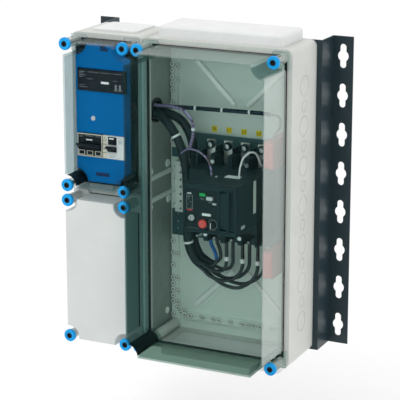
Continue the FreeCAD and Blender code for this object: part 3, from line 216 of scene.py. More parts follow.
def moulded(name, colour, roughness=0.45, grain=0.12, edge_light=1.12, radius=0.0008, spread=0.05,
            grain_scale=900, specular=0.5):
    """Moulded or coated surface: clouded colour, fine grain, and softly rounded edges that edge_light paints
    paler as a highlight.
    """
    tree = Tree(name)
    clouds = tree.noise(14.0, 4)
    tint = tree.ramp(clouds, [(0.25, shaded(colour, 1 - spread)), (0.75, shaded(colour, 1 + spread))])
    normal, edge = tree.edges(radius)
    # edge_light above 1 paints the rounded edges paler: a painted highlight.
    painted_light_colour = tree.mix(tree.maths("MULTIPLY", edge, 0.6), tint, shaded(colour, edge_light))
    tree.link(painted_light_colour, tree.shader.inputs["Base Color"])
    smudge = tree.ramp(tree.noise(45.0, 5), [(0.3, (roughness * 0.88,) * 3), (0.7, (roughness * 1.12,) * 3)])
    tree.link(smudge, tree.shader.inputs["Roughness"])
    tree.shader.inputs["Specular IOR Level"].default_value = specular
    tree.bump(tree.noise(grain_scale, 2), grain, 0.0002, normal)
    return tree.material


def brushed(name, colour, roughness=0.32):
    """Plated sheet metal with faint drawn lines and a blotchy finish."""
    stretch = (1, 1, 40)
    tree = Tree(name)
    lines = tree.add("ShaderNodeTexNoise", Scale=60.0, Detail=4.0, Roughness=0.6)
    mapping = tree.nodes.new("ShaderNodeMapping")
    mapping.inputs["Scale"].default_value = stretch
    tree.link(tree.place(), mapping.inputs["Vector"])
    tree.link(mapping.outputs[0], lines.inputs["Vector"])
    tint = tree.ramp(tree.noise(25.0), [(0.3, shaded(colour, 0.85)), (0.7, shaded(colour, 1.08))])
    normal, edge = tree.edges(0.0005)
    # The edges are painted 1.25 times paler: a painted highlight.
    tree.link(tree.mix(edge, tint, shaded(colour, 1.25)), tree.shader.inputs["Base Color"])
    tree.shader.inputs["Metallic"].default_value = 1.0
    rough = tree.ramp(lines.outputs["Fac"], [(0.3, (roughness * 0.75,) * 3), (0.7, (roughness * 1.3,) * 3)])
    tree.link(rough, tree.shader.inputs["Roughness"])
    tree.bump(lines.outputs["Fac"], 0.15, 0.0002, normal)
    return tree.material


def inside(tree, low, high):
    """1 where a point lies between two corners, given in metres."""
    share = None
    for axis, least, most in zip("XYZ", low, high):
        spot = tree.axis(axis)
        within = tree.maths("MULTIPLY", tree.maths("GREATER_THAN", spot, least),
                            tree.maths("LESS_THAN", spot, most))
        share = within if share is None else tree.maths("MULTIPLY", share, within)
    return share


def lid_walls(tree, node):
    """Masks of a lid's right, top, left and bottom walls, and of all its side walls."""
    low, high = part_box(node)
    skin = 0.0145            # deep enough for the walls, which are set in from the rim
    right = tree.maths("GREATER_THAN", tree.axis("X"), high[0] - skin)
    top = tree.maths("GREATER_THAN", tree.axis("Z"), high[2] - skin)
    left = tree.maths("LESS_THAN", tree.axis("X"), low[0] + skin)
    bottom = tree.maths("LESS_THAN", tree.axis("Z"), low[2] + skin)
    parts = tree.nodes.new("ShaderNodeSeparateXYZ")
    tree.link(tree.add("ShaderNodeNewGeometry").outputs["True Normal"], parts.inputs[0])
    front = tree.maths("GREATER_THAN", tree.maths("ABSOLUTE", parts.outputs["Y"]), 0.6)
    side = tree.maths("SUBTRACT", 1.0, front)
    return [tree.maths("MULTIPLY", side, wall) for wall in (right, top, left, bottom)] + [side]


def clear(name, node, tint, side_tint, bottom_tint, haze, haze_share, wall_reflection, wall_reflection_share, left_share,
          edge_tint, highlight_line=None):
    """Transparent moulded plastic: tinted, a little milky, with a painted reflection on the walls that face
    the light.

    The tints colour what is seen through the front, side and bottom walls and the edges. The darker side tint
    of the walls away from the light is painted shade. The shares say how much of the milky haze or of the
    paler wall reflection, a painted reflection, covers the front, the right wall and the left wall. A
    highlight line is a painted highlight: a pale line along the left wall, between two depths.
    """
    top_share, edge_share, mirror_share, highlight_line_share = 0.22, 0.25, 0.5, 0.6
    clear_bottom, highlight_line_tint = (0.965, 0.98, 0.972), (0.30, 0.52, 0.52)
    tree = Tree(name)
    normal, edge = tree.edges(0.0012)
    right, top, left, bottom, side = lid_walls(tree, node)
    facing = tree.add("ShaderNodeLayerWeight", Blend=0.35).outputs["Facing"]
    grazing = tree.maths("POWER", facing, 3.0, clamp=True)
    dark = tree.maths("MAXIMUM", tree.maths("MULTIPLY", edge, 0.75), grazing)
    # Walls that face the light, the right and the top, are painted lighter. They keep the clear tint and take
    # the pale reflection colour. The right wall also loses most of its darkening and is tinted nearly clear.
    bright = tree.maths("MAXIMUM", right, top)
    dark = tree.maths("MULTIPLY", dark, tree.maths("SUBTRACT", 1.0, tree.maths("MULTIPLY", right, 0.8)))
    see = tree.nodes.new("ShaderNodeBsdfTransparent")
    # Walls away from the light take the darker side tint: painted shade.
    walls = tree.mix(side, tint, tree.mix(bright, side_tint, tint))
    walls = tree.mix(bottom, tree.mix(right, walls, clear_bottom), bottom_tint)
    tree.link(tree.mix(dark, walls, edge_tint), see.inputs["Color"])
    clouds = tree.ramp(tree.noise(6.0), [(0.3, shaded(haze, 0.94)), (0.7, shaded(haze, 1.04))])
    reflection_tone = tree.ramp(tree.noise(4.0), [(0.3, shaded(wall_reflection, 0.9)), (0.7, shaded(wall_reflection, 1.08))])
    milk = tree.mix(tree.maths("MAXIMUM", bright, tree.maths("MULTIPLY", left, left_share)), clouds, reflection_tone)
    tree.shader.inputs["Roughness"].default_value = 0.06
    tree.bump(tree.noise(9.0, 1), 0.05, 0.001, normal)
    glancing = tree.add("ShaderNodeLayerWeight", Blend=0.5).outputs["Facing"]
    mirror = tree.maths("MULTIPLY", tree.maths("POWER", glancing, 5.0), mirror_share)
    milky = tree.maths("ADD", haze_share, tree.maths("MULTIPLY", edge, edge_share))
    milky = tree.maths("MAXIMUM", milky, tree.maths("MULTIPLY", right, wall_reflection_share))
    milky = tree.maths("MAXIMUM", milky, tree.maths("MULTIPLY", top, top_share))
    milky = tree.maths("MAXIMUM", milky, tree.maths("MULTIPLY", left, left_share))
    # The highlight line is a painted highlight along the left wall.
    if highlight_line:
        depth = tree.axis("Y")
        band = tree.maths("MULTIPLY", tree.maths("GREATER_THAN", depth, highlight_line[0]),
                          tree.maths("LESS_THAN", depth, highlight_line[1]))
        band = tree.maths("MULTIPLY", band, left)
        milk = tree.mix(band, milk, highlight_line_tint)
        milky = tree.maths("MAXIMUM", milky, tree.maths("MULTIPLY", band, highlight_line_share))
    tree.link(milk, tree.shader.inputs["Base Color"])
    share = tree.maths("MAXIMUM", mirror, milky, clamp=True)
    both = tree.nodes.new("ShaderNodeMixShader")
    tree.link(share, both.inputs[0])
    tree.link(see.outputs[0], both.inputs[1])
    tree.link(tree.shader.outputs[0], both.inputs[2])
    tree.link(both.outputs[0], tree.output.inputs["Surface"])
    return tree.material


def base_plastic():
    """Light grey polycarbonate, with painted light: a paler floor in each box, most towards the bottom, a
    painted shade on the inner left walls, and edges painted paler as a highlight.
    """
    colour = (0.575, 0.59, 0.56)
    tree = Tree("base_plastic")
    tint = tree.ramp(tree.noise(14.0, 4), [(0.25, shaded(colour, 0.95)), (0.75, shaded(colour, 1.05))])
    normal, edge = tree.edges(0.0008)
    # The edges are painted 1.2 times paler: a painted highlight.
    painted_light_colour = tree.mix(tree.maths("MULTIPLY", edge, 0.6), tint, shaded(colour, 1.2))
    wall, rim, floor, floor_face, wall_foot = 0.0042, 0.166, 0.0705, 0.0585, 0.0625
    # Painted light on the floor of each box: paler than the walls, most towards the bottom.
    height = tree.maths("ADD", tree.maths("MULTIPLY", tree.axis("Z"), 1.7), 0.5, clamp=True)
    inner = tree.mix(height, (0.84, 0.92, 0.86), (0.68, 0.755, 0.715))
    for node in ("main_base", "upper_left_base", "lower_left_base"):
        low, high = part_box(node)
        flat = inside(tree, (low[0] + wall, -floor, low[2] + wall),
                      (high[0] - wall, -floor_face, high[2] - wall))
        painted_light_colour = tree.mix(flat, painted_light_colour, inner)
        left = inside(tree, (low[0] + 0.0005, -rim, low[2] + wall),
                      (low[0] + wall, -wall_foot, high[2] - wall))
        # Painted shade: the inner left walls are painted dark.
        painted_light_colour = tree.mix(left, painted_light_colour, (0.25, 0.29, 0.27))
    tree.link(painted_light_colour, tree.shader.inputs["Base Color"])
    smudge = tree.ramp(tree.noise(45.0, 5), [(0.3, (0.37,) * 3), (0.7, (0.47,) * 3)])
    tree.link(smudge, tree.shader.inputs["Roughness"])
    tree.bump(tree.noise(900.0, 2), 0.1, 0.0002, normal)
    return tree.material


def fastener_plastic():
    """A bright blue head on a grey post, in one moulding."""
    blue, grey = (0.003, 0.32, 0.74), (0.30, 0.30, 0.27)
    tree = Tree("fastener_plastic")
    head_back = -0.2215
    y = tree.axis("Y")
    head = tree.maths("LESS_THAN", y, head_back)
    normal, edge = tree.edges(0.0008)
    clouds = tree.ramp(tree.noise(60.0), [(0.3, shaded(blue, 0.9)), (0.7, shaded(blue, 1.15))])
    # The edges are painted paler blue: a painted highlight.
    paler = tree.mix(tree.maths("MULTIPLY", edge, 0.4), clouds, shaded(blue, 1.6))
    tree.link(tree.mix(head, grey, paler), tree.shader.inputs["Base Color"])
    tree.shader.inputs["Roughness"].default_value = 0.3
    tree.shader.inputs["Specular IOR Level"].default_value = 0.2
    tree.bump(tree.noise(700.0, 2), 0.08, 0.0002, normal)
    return tree.material


def wire_insulation():
    """The thin wires, each with the colour of its run."""
    violet, brown, pale_violet = (0.16, 0.09, 0.42), (0.10, 0.05, 0.05), (0.35, 0.33, 0.55)
    white, grey = (0.75, 0.76, 0.78), (0.18, 0.19, 0.19)
    lead_left, lead_bottom = 0.1495, 0.115       # the grey sensor lead is right of and above these
    white_left, white_top = 0.120, 0.110         # the white wire is right of and below these
    tree = Tree("wire_insulation")
    x, z = tree.axis("X"), tree.axis("Z")
    lead = tree.maths("MULTIPLY", tree.maths("GREATER_THAN", x, lead_left),
                      tree.maths("GREATER_THAN", z, lead_bottom))
    beyond = tree.maths("GREATER_THAN", x, white_left)
    low = tree.maths("LESS_THAN", z, white_top)
    white_part = tree.maths("MULTIPLY", beyond, low)
    stripes = tree.add("ShaderNodeTexWave", Scale=90.0, Distortion=0.6)
    mapping = tree.nodes.new("ShaderNodeMapping")
    mapping.inputs["Rotation"].default_value = (0.0, 0.9, 0.6)
    tree.link(tree.place(), mapping.inputs["Vector"])
    tree.link(mapping.outputs[0], stripes.inputs["Vector"])
    twisted = tree.ramp(stripes.outputs["Fac"], [(0.35, brown), (0.5, violet), (0.8, pale_violet)])
    first = tree.mix(white_part, twisted, white)
    tree.link(tree.mix(lead, first, grey), tree.shader.inputs["Base Color"])
    tree.shader.inputs["Roughness"].default_value = 0.4
    tree.bump(tree.noise(300.0), 0.08, 0.0002)
    return tree.material


def core_insulation():
    """Black conductors; the upper part of the left one in front is the blue neutral."""
    black, blue = (0.008, 0.016, 0.020), (0.01, 0.13, 0.45)
    neutral_right, neutral_back, neutral_bottom = 0.0505, -0.0965, -0.128
    tree = Tree("core_insulation")
    x, z = tree.axis("X"), tree.axis("Z")
    neutral = tree.maths("MULTIPLY", tree.maths("LESS_THAN", x, neutral_right),
                         tree.maths("LESS_THAN", tree.axis("Y"), neutral_back))
    raised = tree.maths("GREATER_THAN", z, neutral_bottom)
    clouds = tree.ramp(tree.noise(40.0), [(0.3, black), (0.7, shaded(black, 1.8))])
    share = tree.maths("MULTIPLY", neutral, raised)
    tree.link(tree.mix(share, clouds, blue), tree.shader.inputs["Base Color"])
    tree.shader.inputs["Roughness"].default_value = 0.28
    tree.bump(tree.noise(260.0), 0.06, 0.0003)
    return tree.material


def make_materials():
    """Every finish by its short name."""
    # An edge_light above 1 paints the rounded edges paler as a highlight. It is strongest on the breaker, the
    # black devices, the scoops, the rails and the plate.
    return {
        "base": base_plastic(),
        # Bosses, floor ribs and wall ribs are coloured paler than the box they are moulded in: a painted
        # highlight.
        "boss": moulded("boss_plastic", (0.95, 0.99, 0.95), 0.3, grain=0.06, specular=0.8),
        "rib": moulded("rib_plastic", (0.97, 1.0, 0.97), 0.2, grain=0.04, specular=1.0),
        "wall_rib": moulded("wall_rib_plastic", (0.78, 0.84, 0.80), 0.25, grain=0.04, specular=1.0),
        # Dark grey rims round the bosses and the knock-out rings: painted shade.
        "shade_line": moulded("shade_line_grey", (0.20, 0.24, 0.22), 0.5),
        "opaque_lid": moulded("opaque_lid_plastic", (0.62, 0.645, 0.63), 0.35, grain=0.06, edge_light=1.2),
        "smoked_lid": clear("smoked_polycarbonate", "main_lid", tint=(0.90, 0.955, 0.94),
                            side_tint=(0.62, 0.72, 0.72), bottom_tint=(0.46, 0.54, 0.49),
                            haze=(0.14, 0.30, 0.30), haze_share=0.012, wall_reflection=(0.62, 0.69, 0.66),
                            wall_reflection_share=0.34, left_share=0.0, edge_tint=(0.30, 0.42, 0.40),
                            highlight_line=(-0.2035, -0.1965)),
        "clear_lid": clear("clear_polycarbonate", "upper_left_lid", tint=(0.965, 0.985, 0.99),
                           side_tint=(0.82, 0.89, 0.89), bottom_tint=(0.86, 0.91, 0.91),
                           haze=(0.25, 0.35, 0.38), haze_share=0.004, wall_reflection=(0.40, 0.46, 0.44),
                           wall_reflection_share=0.10, left_share=0.28, edge_tint=(0.55, 0.66, 0.68)),
        # Near-black lining of the lid corner recesses: partly the stacked tint, partly painted shade.
        "scoop": moulded("scoop_shade", (0.004, 0.012, 0.015), 0.2, grain=0.02, edge_light=2.5, specular=0.1),
        "fastener": fastener_plastic(),
        "socket": moulded("socket_black", (0.008, 0.010, 0.013), 0.5, specular=0.25),
        "gasket": moulded("gasket_foam", (0.018, 0.020, 0.020), 0.9, grain=0.5, spread=0.2, grain_scale=500),
        "rail": moulded("rail_coat", (0.016, 0.032, 0.040), 0.34, grain=0.05, edge_light=2.2, spread=0.08,
                        radius=0.0006, specular=0.3),
        "zinc": brushed("zinc_plate", (0.62, 0.63, 0.65)),
        "tinned": brushed("tinned_copper", (0.50, 0.51, 0.50), 0.3),
        "flange": moulded("flange_plastic", (0.74, 0.75, 0.745), 0.4, grain=0.06),
        "rubber": moulded("rubber_black", (0.010, 0.010, 0.011), 0.6, grain=0.3, edge_light=1.8,
                          specular=0.3),
        "plate": moulded("plate_coat", (0.045, 0.105, 0.115), 0.4, grain=0.08, edge_light=2.0,
                         specular=0.35),
        "strip": moulded("strip_plastic", (0.74, 0.79, 0.75), 0.45),
        "breaker": moulded("breaker_thermoset", (0.010, 0.025, 0.031), 0.42, grain=0.22, edge_light=3.5,
                           spread=0.12, grain_scale=1200, specular=0.12),
        "panel": moulded("panel_film", (0.008, 0.018, 0.022), 0.25, grain=0.05, edge_light=1.5,
                         specular=0.12),
        "slot": moulded("slot_black", (0.003, 0.005, 0.007), 0.6, specular=0.15),
        "steel": brushed("plain_steel", (0.40, 0.41, 0.42), 0.4),
        "red": moulded("stop_red", (0.62, 0.03, 0.025), 0.3, edge_light=1.3),
        "pale_red": moulded("stop_mark", (0.80, 0.30, 0.26), 0.4),
        "light_grey": moulded("knob_grey", (0.50, 0.53, 0.55), 0.35),
        "black": moulded("device_black", (0.008, 0.013, 0.018), 0.42, grain=0.2, edge_light=2.6,
                         spread=0.12, specular=0.12),
        "white": moulded("device_white", (0.70, 0.71, 0.69), 0.4),
        "cream": moulded("device_cream", (0.62, 0.60, 0.48), 0.45),
        "blue_cover": moulded("cover_blue", (0.0, 0.132, 0.375), 0.42, grain=0.04, edge_light=1.6,
                              specular=0.03),
        "terminal_red": moulded("terminal_red", (0.66, 0.06, 0.055), 0.35, edge_light=1.3),
        "yellow": moulded("label_yellow", (1.0, 0.74, 0.0), 0.5, grain=0.02, specular=0.3),
        "sheath": moulded("sheath_black", (0.008, 0.018, 0.022), 0.38, grain=0.12, spread=0.2,
                          radius=0.0003, specular=0.25),
        "loom": moulded("loom_wrap", (0.002, 0.016, 0.030), 0.4, grain=0.15, spread=0.25, radius=0.0003,
                        specular=0.25),
        "core": core_insulation(),
        "wire": wire_insulation(),
        "tie": moulded("tie_nylon", (0.84, 0.86, 0.85), 0.4),
        "earth": moulded("earth_green", (0.42, 0.55, 0.05), 0.4),
        "green": moulded("state_green", (0.01, 0.38, 0.10), 0.25, specular=0.3),
        "ink": moulded("ink_white", (0.80, 0.82, 0.82), 0.5, grain=0.02),
        "dim_ink": moulded("ink_grey", (0.22, 0.25, 0.26), 0.5, grain=0.02),
        "navy": moulded("label_and_shade_navy", (0.004, 0.022, 0.085), 0.4, specular=0.2),
        "ink_and_shade_black": moulded("ink_and_shade_black", (0.01, 0.01, 0.01), 0.6, grain=0.02, specular=0.2),
    }


NODE_FINISH = {
    "base": ("main_base", "upper_left_base", "lower_left_base"),
    "smoked_lid": ("main_lid",), "clear_lid": ("upper_left_lid",), "opaque_lid": ("lower_left_lid",),
    "gasket": ("lid_gaskets",), "rail": ("right_rail", "left_rail"),
    "zinc": ("rail_bolts", "mounting_screws", "din_rails", "terminal_screws", "charging_motor"),
    "flange": ("main_flanges", "side_flanges"), "rubber": ("cable_bush",), "plate": ("mounting_plate",),
    "strip": ("support_strip",),
    "breaker": ("breaker_base", "breaker_cover", "operator_case", "phase_barriers", "charging_lever",
                "contact_rotor"),
    "tinned": ("upper_lugs", "lower_clamps"), "panel": ("control_panel",), "steel": ("arc_chutes",),
    "red": ("stop_button",), "light_grey": ("start_button", "lock_knob", "cover_screw"),
    "black": ("mode_selector", "protection_relay", "three_pole_breaker", "three_pole_toggle",
              "residual_toggle"),
    "cream": ("auxiliary_switch",), "white": ("residual_switch",), "blue_cover": ("device_cover",),
    "terminal_red": ("terminal_blocks",), "yellow": ("phase_labels",), "sheath": ("supply_cables",),
    "loom": ("control_loom",),
    "core": ("breaker_conductors",), "wire": ("signal_wires",), "tie": ("cable_ties",),
}


def finish_nodes():
    """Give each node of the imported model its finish."""
    for finish, names in NODE_FINISH.items():
        for name in names:
            NODES[name].data.materials.clear()
            NODES[name].data.materials.append(MATERIALS[finish])
    for name, node in NODES.items():
        if "_fastener_" in name:
            node.data.materials.clear()
            node.data.materials.append(MATERIALS["fastener"])


# ---------------------------------------------------------------- small pieces
def add_piece(name, mesh, finish, body):
    """Put a mesh in the scene as a visible piece that rides on a body."""
    piece = bpy.data.objects.new(name, mesh)
    bpy.context.scene.collection.objects.link(piece)
    mesh.materials.append(MATERIALS[finish])
    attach(piece, body)
    return piece


def finished(made, name):
    """Turn a bmesh into a mesh and free it."""
    mesh = bpy.data.meshes.new(name)
    made.to_mesh(mesh)
    made.free()
    return mesh


def slabs(name, corners, finish, body="enclosure", bevel=0.0003):
    """Blocks between pairs of corners, with their edges rounded, as one piece."""
    whole = bmesh.new()
    for low, high in corners:
        low, high = Vector(low), Vector(high)
        size = high - low
        made = bmesh.new()
        bmesh.ops.create_cube(made, size=1)
        bmesh.ops.transform(made, matrix=Matrix.Translation((low + high) / 2) @ Matrix.Diagonal((*size, 1)),
                            verts=made.verts)
        bmesh.ops.bevel(made, geom=made.edges[:], offset=min(bevel, min(size) * 0.4), segments=2,
                        affect="EDGES", profile=0.6)
        part = finished(made, name + "_part")
        whole.from_mesh(part)
        bpy.data.meshes.remove(part)
    return add_piece(name, finished(whole, name), finish, body)


def on_face(name, rectangles, y, rise, finish, bevel=0.0003, body="enclosure"):
    """Thin rectangles (x from, x to, z from, z to, in millimetres) on a face of constant Y."""
    corners = [((x0 * MM, y - rise, z0 * MM), (x1 * MM, y, z1 * MM)) for x0, x1, z0, z1 in rectangles]
    return slabs(name, corners, finish, body, bevel)


def frames(name, rectangles, y, rise, width, finish, body="enclosure"):
    """Rectangular frames (x from, x to, z from, z to, in millimetres) on a face of constant Y."""
    bars = []
    for x0, x1, z0, z1 in rectangles:
        bars += [(x0, x1, z0, z0 + width), (x0, x1, z1 - width, z1),
                 (x0, x0 + width, z0 + width, z1 - width), (x1 - width, x1, z0 + width, z1 - width)]
    return on_face(name, bars, y, rise, finish, 0.0002, body)


def turned(name, profile, places, axis, finish, body="enclosure", steps=28):
    """Turned forms: (radius, distance along the axis) pairs in millimetres, swept at each place."""
    whole = bmesh.new()
    turn = Vector((0, 0, 1)).rotation_difference(Vector(axis)).to_matrix().to_4x4()
    for spot in places:
        made = bmesh.new()
        verts = [made.verts.new((radius * MM, 0, level * MM)) for radius, level in profile]
        edges = [made.edges.new(pair) for pair in zip(verts, verts[1:])]
        bmesh.ops.spin(made, geom=verts + edges, cent=(0, 0, 0), axis=(0, 0, 1), angle=math.tau,
                       steps=steps, use_merge=True)
        bmesh.ops.remove_doubles(made, verts=made.verts[:], dist=1e-7)
        bmesh.ops.recalc_face_normals(made, faces=made.faces[:])
        bmesh.ops.transform(made, matrix=Matrix.Translation(spot) @ turn, verts=made.verts[:])
        part = finished(made, name + "_part")
        whole.from_mesh(part)
        bpy.data.meshes.remove(part)
    return add_piece(name, finished(whole, name), finish, body)


def half_round(name, lines, up, width, rise, finish, body="enclosure"):
    """Half-round bars along (start, end) lines, on a face whose outward direction is up."""
    made = bmesh.new()
    steps = 10
    for start, end in lines:
        start, end, lift = Vector(start), Vector(end), Vector(up)
        across = (end - start).normalized().cross(lift)
        rings = []
        for share, scale in ((0, 0.4), (0.015, 0.85), (0.04, 1), (0.96, 1), (0.985, 0.85), (1, 0.4)):
            centre = start.lerp(end, share)
            rings.append([made.verts.new(centre + across * (math.cos(math.pi * k / steps) * width / 2 * scale)
                                         + lift * (math.sin(math.pi * k / steps) * rise * scale))
                          for k in range(steps + 1)])
        for ring, after in zip(rings, rings[1:]):
            for k in range(steps + 1):
                follow = (k + 1) % (steps + 1)
                made.faces.new((ring[k], ring[follow], after[follow], after[k]))
        made.faces.new(rings[0])
        made.faces.new(rings[-1])
    bmesh.ops.recalc_face_normals(made, faces=made.faces[:])
    return add_piece(name, finished(made, name), finish, body)


def curved_wall(name, centre, radius, angles, depth, thick, finish, body):
    """Part of a tube along Y, between two angles that are counted from +X towards +Z."""
    made = bmesh.new()
    steps = 20
    rings = []
    for k in range(steps + 1):
        angle = math.radians(angles[0] + (angles[1] - angles[0]) * k / steps)
        way = Vector((math.cos(angle), 0, math.sin(angle)))
        rings.append([made.verts.new(Vector((centre[0], y, centre[1])) + way * reach)
                      for reach, y in ((radius, depth[0]), (radius, depth[1]),
                                       (radius - thick, depth[1]), (radius - thick, depth[0]))])
    for ring, after in zip(rings, rings[1:]):
        for k in range(4):
            made.faces.new((ring[k], ring[(k + 1) % 4], after[(k + 1) % 4], after[k]))
    made.faces.new(rings[0])
    made.faces.new(rings[-1])
    bmesh.ops.recalc_face_normals(made, faces=made.faces[:])
    return add_piece(name, finished(made, name), finish, body)


def lettering(name, text, place, height, finish, body="enclosure"):
    """Raised generic characters that face the front."""
    curve = bpy.data.curves.new(name, "FONT")
    curve.body = text
    curve.size = height
    curve.extrude = 0.00008
    curve.align_x = "CENTER"
    curve.align_y = "CENTER"
    draft = bpy.data.objects.new(name + "_draft", curve)
    bpy.context.scene.collection.objects.link(draft)
    bpy.context.view_layer.update()
    mesh = bpy.data.meshes.new_from_object(draft.evaluated_get(bpy.context.evaluated_depsgraph_get()))
    bpy.data.objects.remove(draft)
    mesh.transform(Matrix.Translation(place) @ Matrix.Rotation(math.radians(90), 4, "X"))
    mesh.name = name
    mesh.materials.clear()
    return add_piece(name, mesh, finish, body)


# ---------------------------------------------------------------- the pieces
FRONT = (0, -1, 0)


def fastener_sockets():
    """A black lining in the tool socket of every fastener."""
    lining = [(0.01, -3.6), (2.9, -3.6), (3.3, -3.2), (3.6, 0.05), (4.1, 0.3), (5.3, 0.3), (5.6, 0.0)]
    star = [(0.01, -3.4), (1.0, -3.4), (1.2, -2.4), (1.0, -2.2), (0.01, -2.2)]
    for node in NODES:
        if "_fastener_" in node:
            low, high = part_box(node)
            spot = ((low[0] + high[0]) / 2, low[1], (low[2] + high[2]) / 2)
            turned(node + "_socket", lining, [spot], FRONT, "socket", node)
            turned(node + "_pin", star, [spot], FRONT, "socket", node, 12)


def box_mouldings():
    """Screw bosses, stiffening ribs and pads moulded inside the main box. Their paler colour is a painted
    highlight; the black pits, the dark rims round the bosses and the dark knock-out rings on the left wall
    are painted shade.
    """
    low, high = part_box("main_base")
    wall = low[0] + 0.0035
    row = -0.068
    floor = -0.062
    foot = low[2] + 0.032
    plate_low, plate_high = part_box("mounting_plate")
    ring = [(1.9, -1.0), (1.9, 1.2), (2.3, 1.6), (3.9, 1.6), (4.4, 1.1), (4.5, -0.2)]
    pit = [(0.01, 0.9), (1.9, 0.9), (1.95, -0.6)]
    rim = [(4.4, 0.0), (4.6, 0.3), (5.3, 0.3), (5.5, 0.0)]

    def rows(name, spots):
        # The boss rings are coloured paler than the box: a painted highlight.
        turned(name, ring, spots, FRONT, "boss", steps=20)
        # The black pits in the bosses and the dark rims round them are painted shade.
        turned(name + "_pits", pit, spots, FRONT, "ink_and_shade_black", steps=14)
        turned(name + "_rims", rim, spots, FRONT, "shade_line", steps=20)

    levels = [foot + 0.025 * k for k in range(21)] + [foot + 0.0125 + 0.025 * k for k in (1, 2, 18, 19)]
    bare = [z for z in levels if not plate_low[2] - 0.006 < z < plate_high[2] + 0.006]
    rows("boss_row_left", [(low[0] + 0.0085, row, z) for z in bare])
    rows("boss_row_inner", [(low[0] + 0.0190, row, foot + rise) for rise in
                            (0.0125, 0.0250, 0.0480, 0.0740, 0.1240, 0.3900, 0.4700, 0.4960)])
    across = [0.0330 + 0.0125 * k for k in (0, 1, 3, 5, 6, 8, 10, 11, 12, 13, 15, 17, 18)]
    rows("boss_row_low", [(low[0] + x, row, foot) for x in across])
    rows("boss_row_corner", [(low[0] + 0.0260, row, foot + 0.0040), (low[0] + 0.0330, row, foot + 0.0075)])

    apex, reach = 0.152, 0.118
    for name, level, way in (("rib_pair_upper", apex, 1), ("rib_pair_lower", -apex, -1)):
        middle = (low[0] + high[0]) / 2
        slant = reach * math.sqrt(0.5)
        lines = [((middle + side * 0.012, floor - 0.0014, level + way * 0.010),
                  (middle + side * (slant + 0.012), floor - 0.0014, level + way * (slant + 0.010)))
                 for side in (-1, 1)]
        half_round(name, lines, FRONT, 0.012, 0.0042, "rib")

    half_round("wall_ribs", [((wall, -0.158, z), (wall, -0.066, z)) for z in (0.024, -0.019)],
               (1, 0, 0), 0.010, 0.0055, "wall_rib")
    pad = [(0.01, 2.2), (5.2, 2.2), (6.2, 1.6), (6.6, 0.0)]
    turned("wall_pads", pad, [(wall, -0.150, 0.038), (wall, -0.152, -0.031), (wall, -0.0850, -0.257),
                              (wall, -0.1555, -0.259)], (1, 0, 0), "boss")
    eye = [(3.2, 0.2), (3.2, 2.6), (3.8, 3.2), (6.8, 3.2), (7.6, 2.4), (7.9, 0.0)]
    turned("wall_eyes", eye, [(wall, -0.0810, 0.040), (wall, -0.0790, -0.031)], (1, 0, 0), "wall_rib")
    # The dark knock-out rings on the left wall are painted shade.
    for name, radius, first in (("wall_rings_large", 18.4, 0), ("wall_rings_small", 10.6, 1)):
        lip = [(radius - 0.9, 0.0), (radius - 0.6, 0.45), (radius + 0.4, 0.45), (radius + 0.7, 0.0)]
        spots = [(wall, -0.1155, 0.0375 * k) for k in (-6, -5, -4, -3, -2, 2, 5, 6) if k % 2 == first]
        turned(name, lip, spots, (1, 0, 0), "shade_line", steps=40)


def scoops():
    """A near-black lining makes the curved walls of the lids' lower left corner recesses look nearly black:
    partly the tint of the stacked plastic walls there, partly painted shade.
    """
    for lid, fastener in (("main_lid", "main_fastener_bottom_left"),
                          ("upper_left_lid", "upper_left_fastener_bottom_left")):
        low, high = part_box(fastener)
        centre = ((low[0] + high[0]) / 2, (low[2] + high[2]) / 2)
        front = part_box(lid)[0][1]
        curved_wall(lid + "_scoop", centre, 0.0207, (2, 88), (front + 0.0012, -0.1835), 0.0006, "scoop",
                    lid)


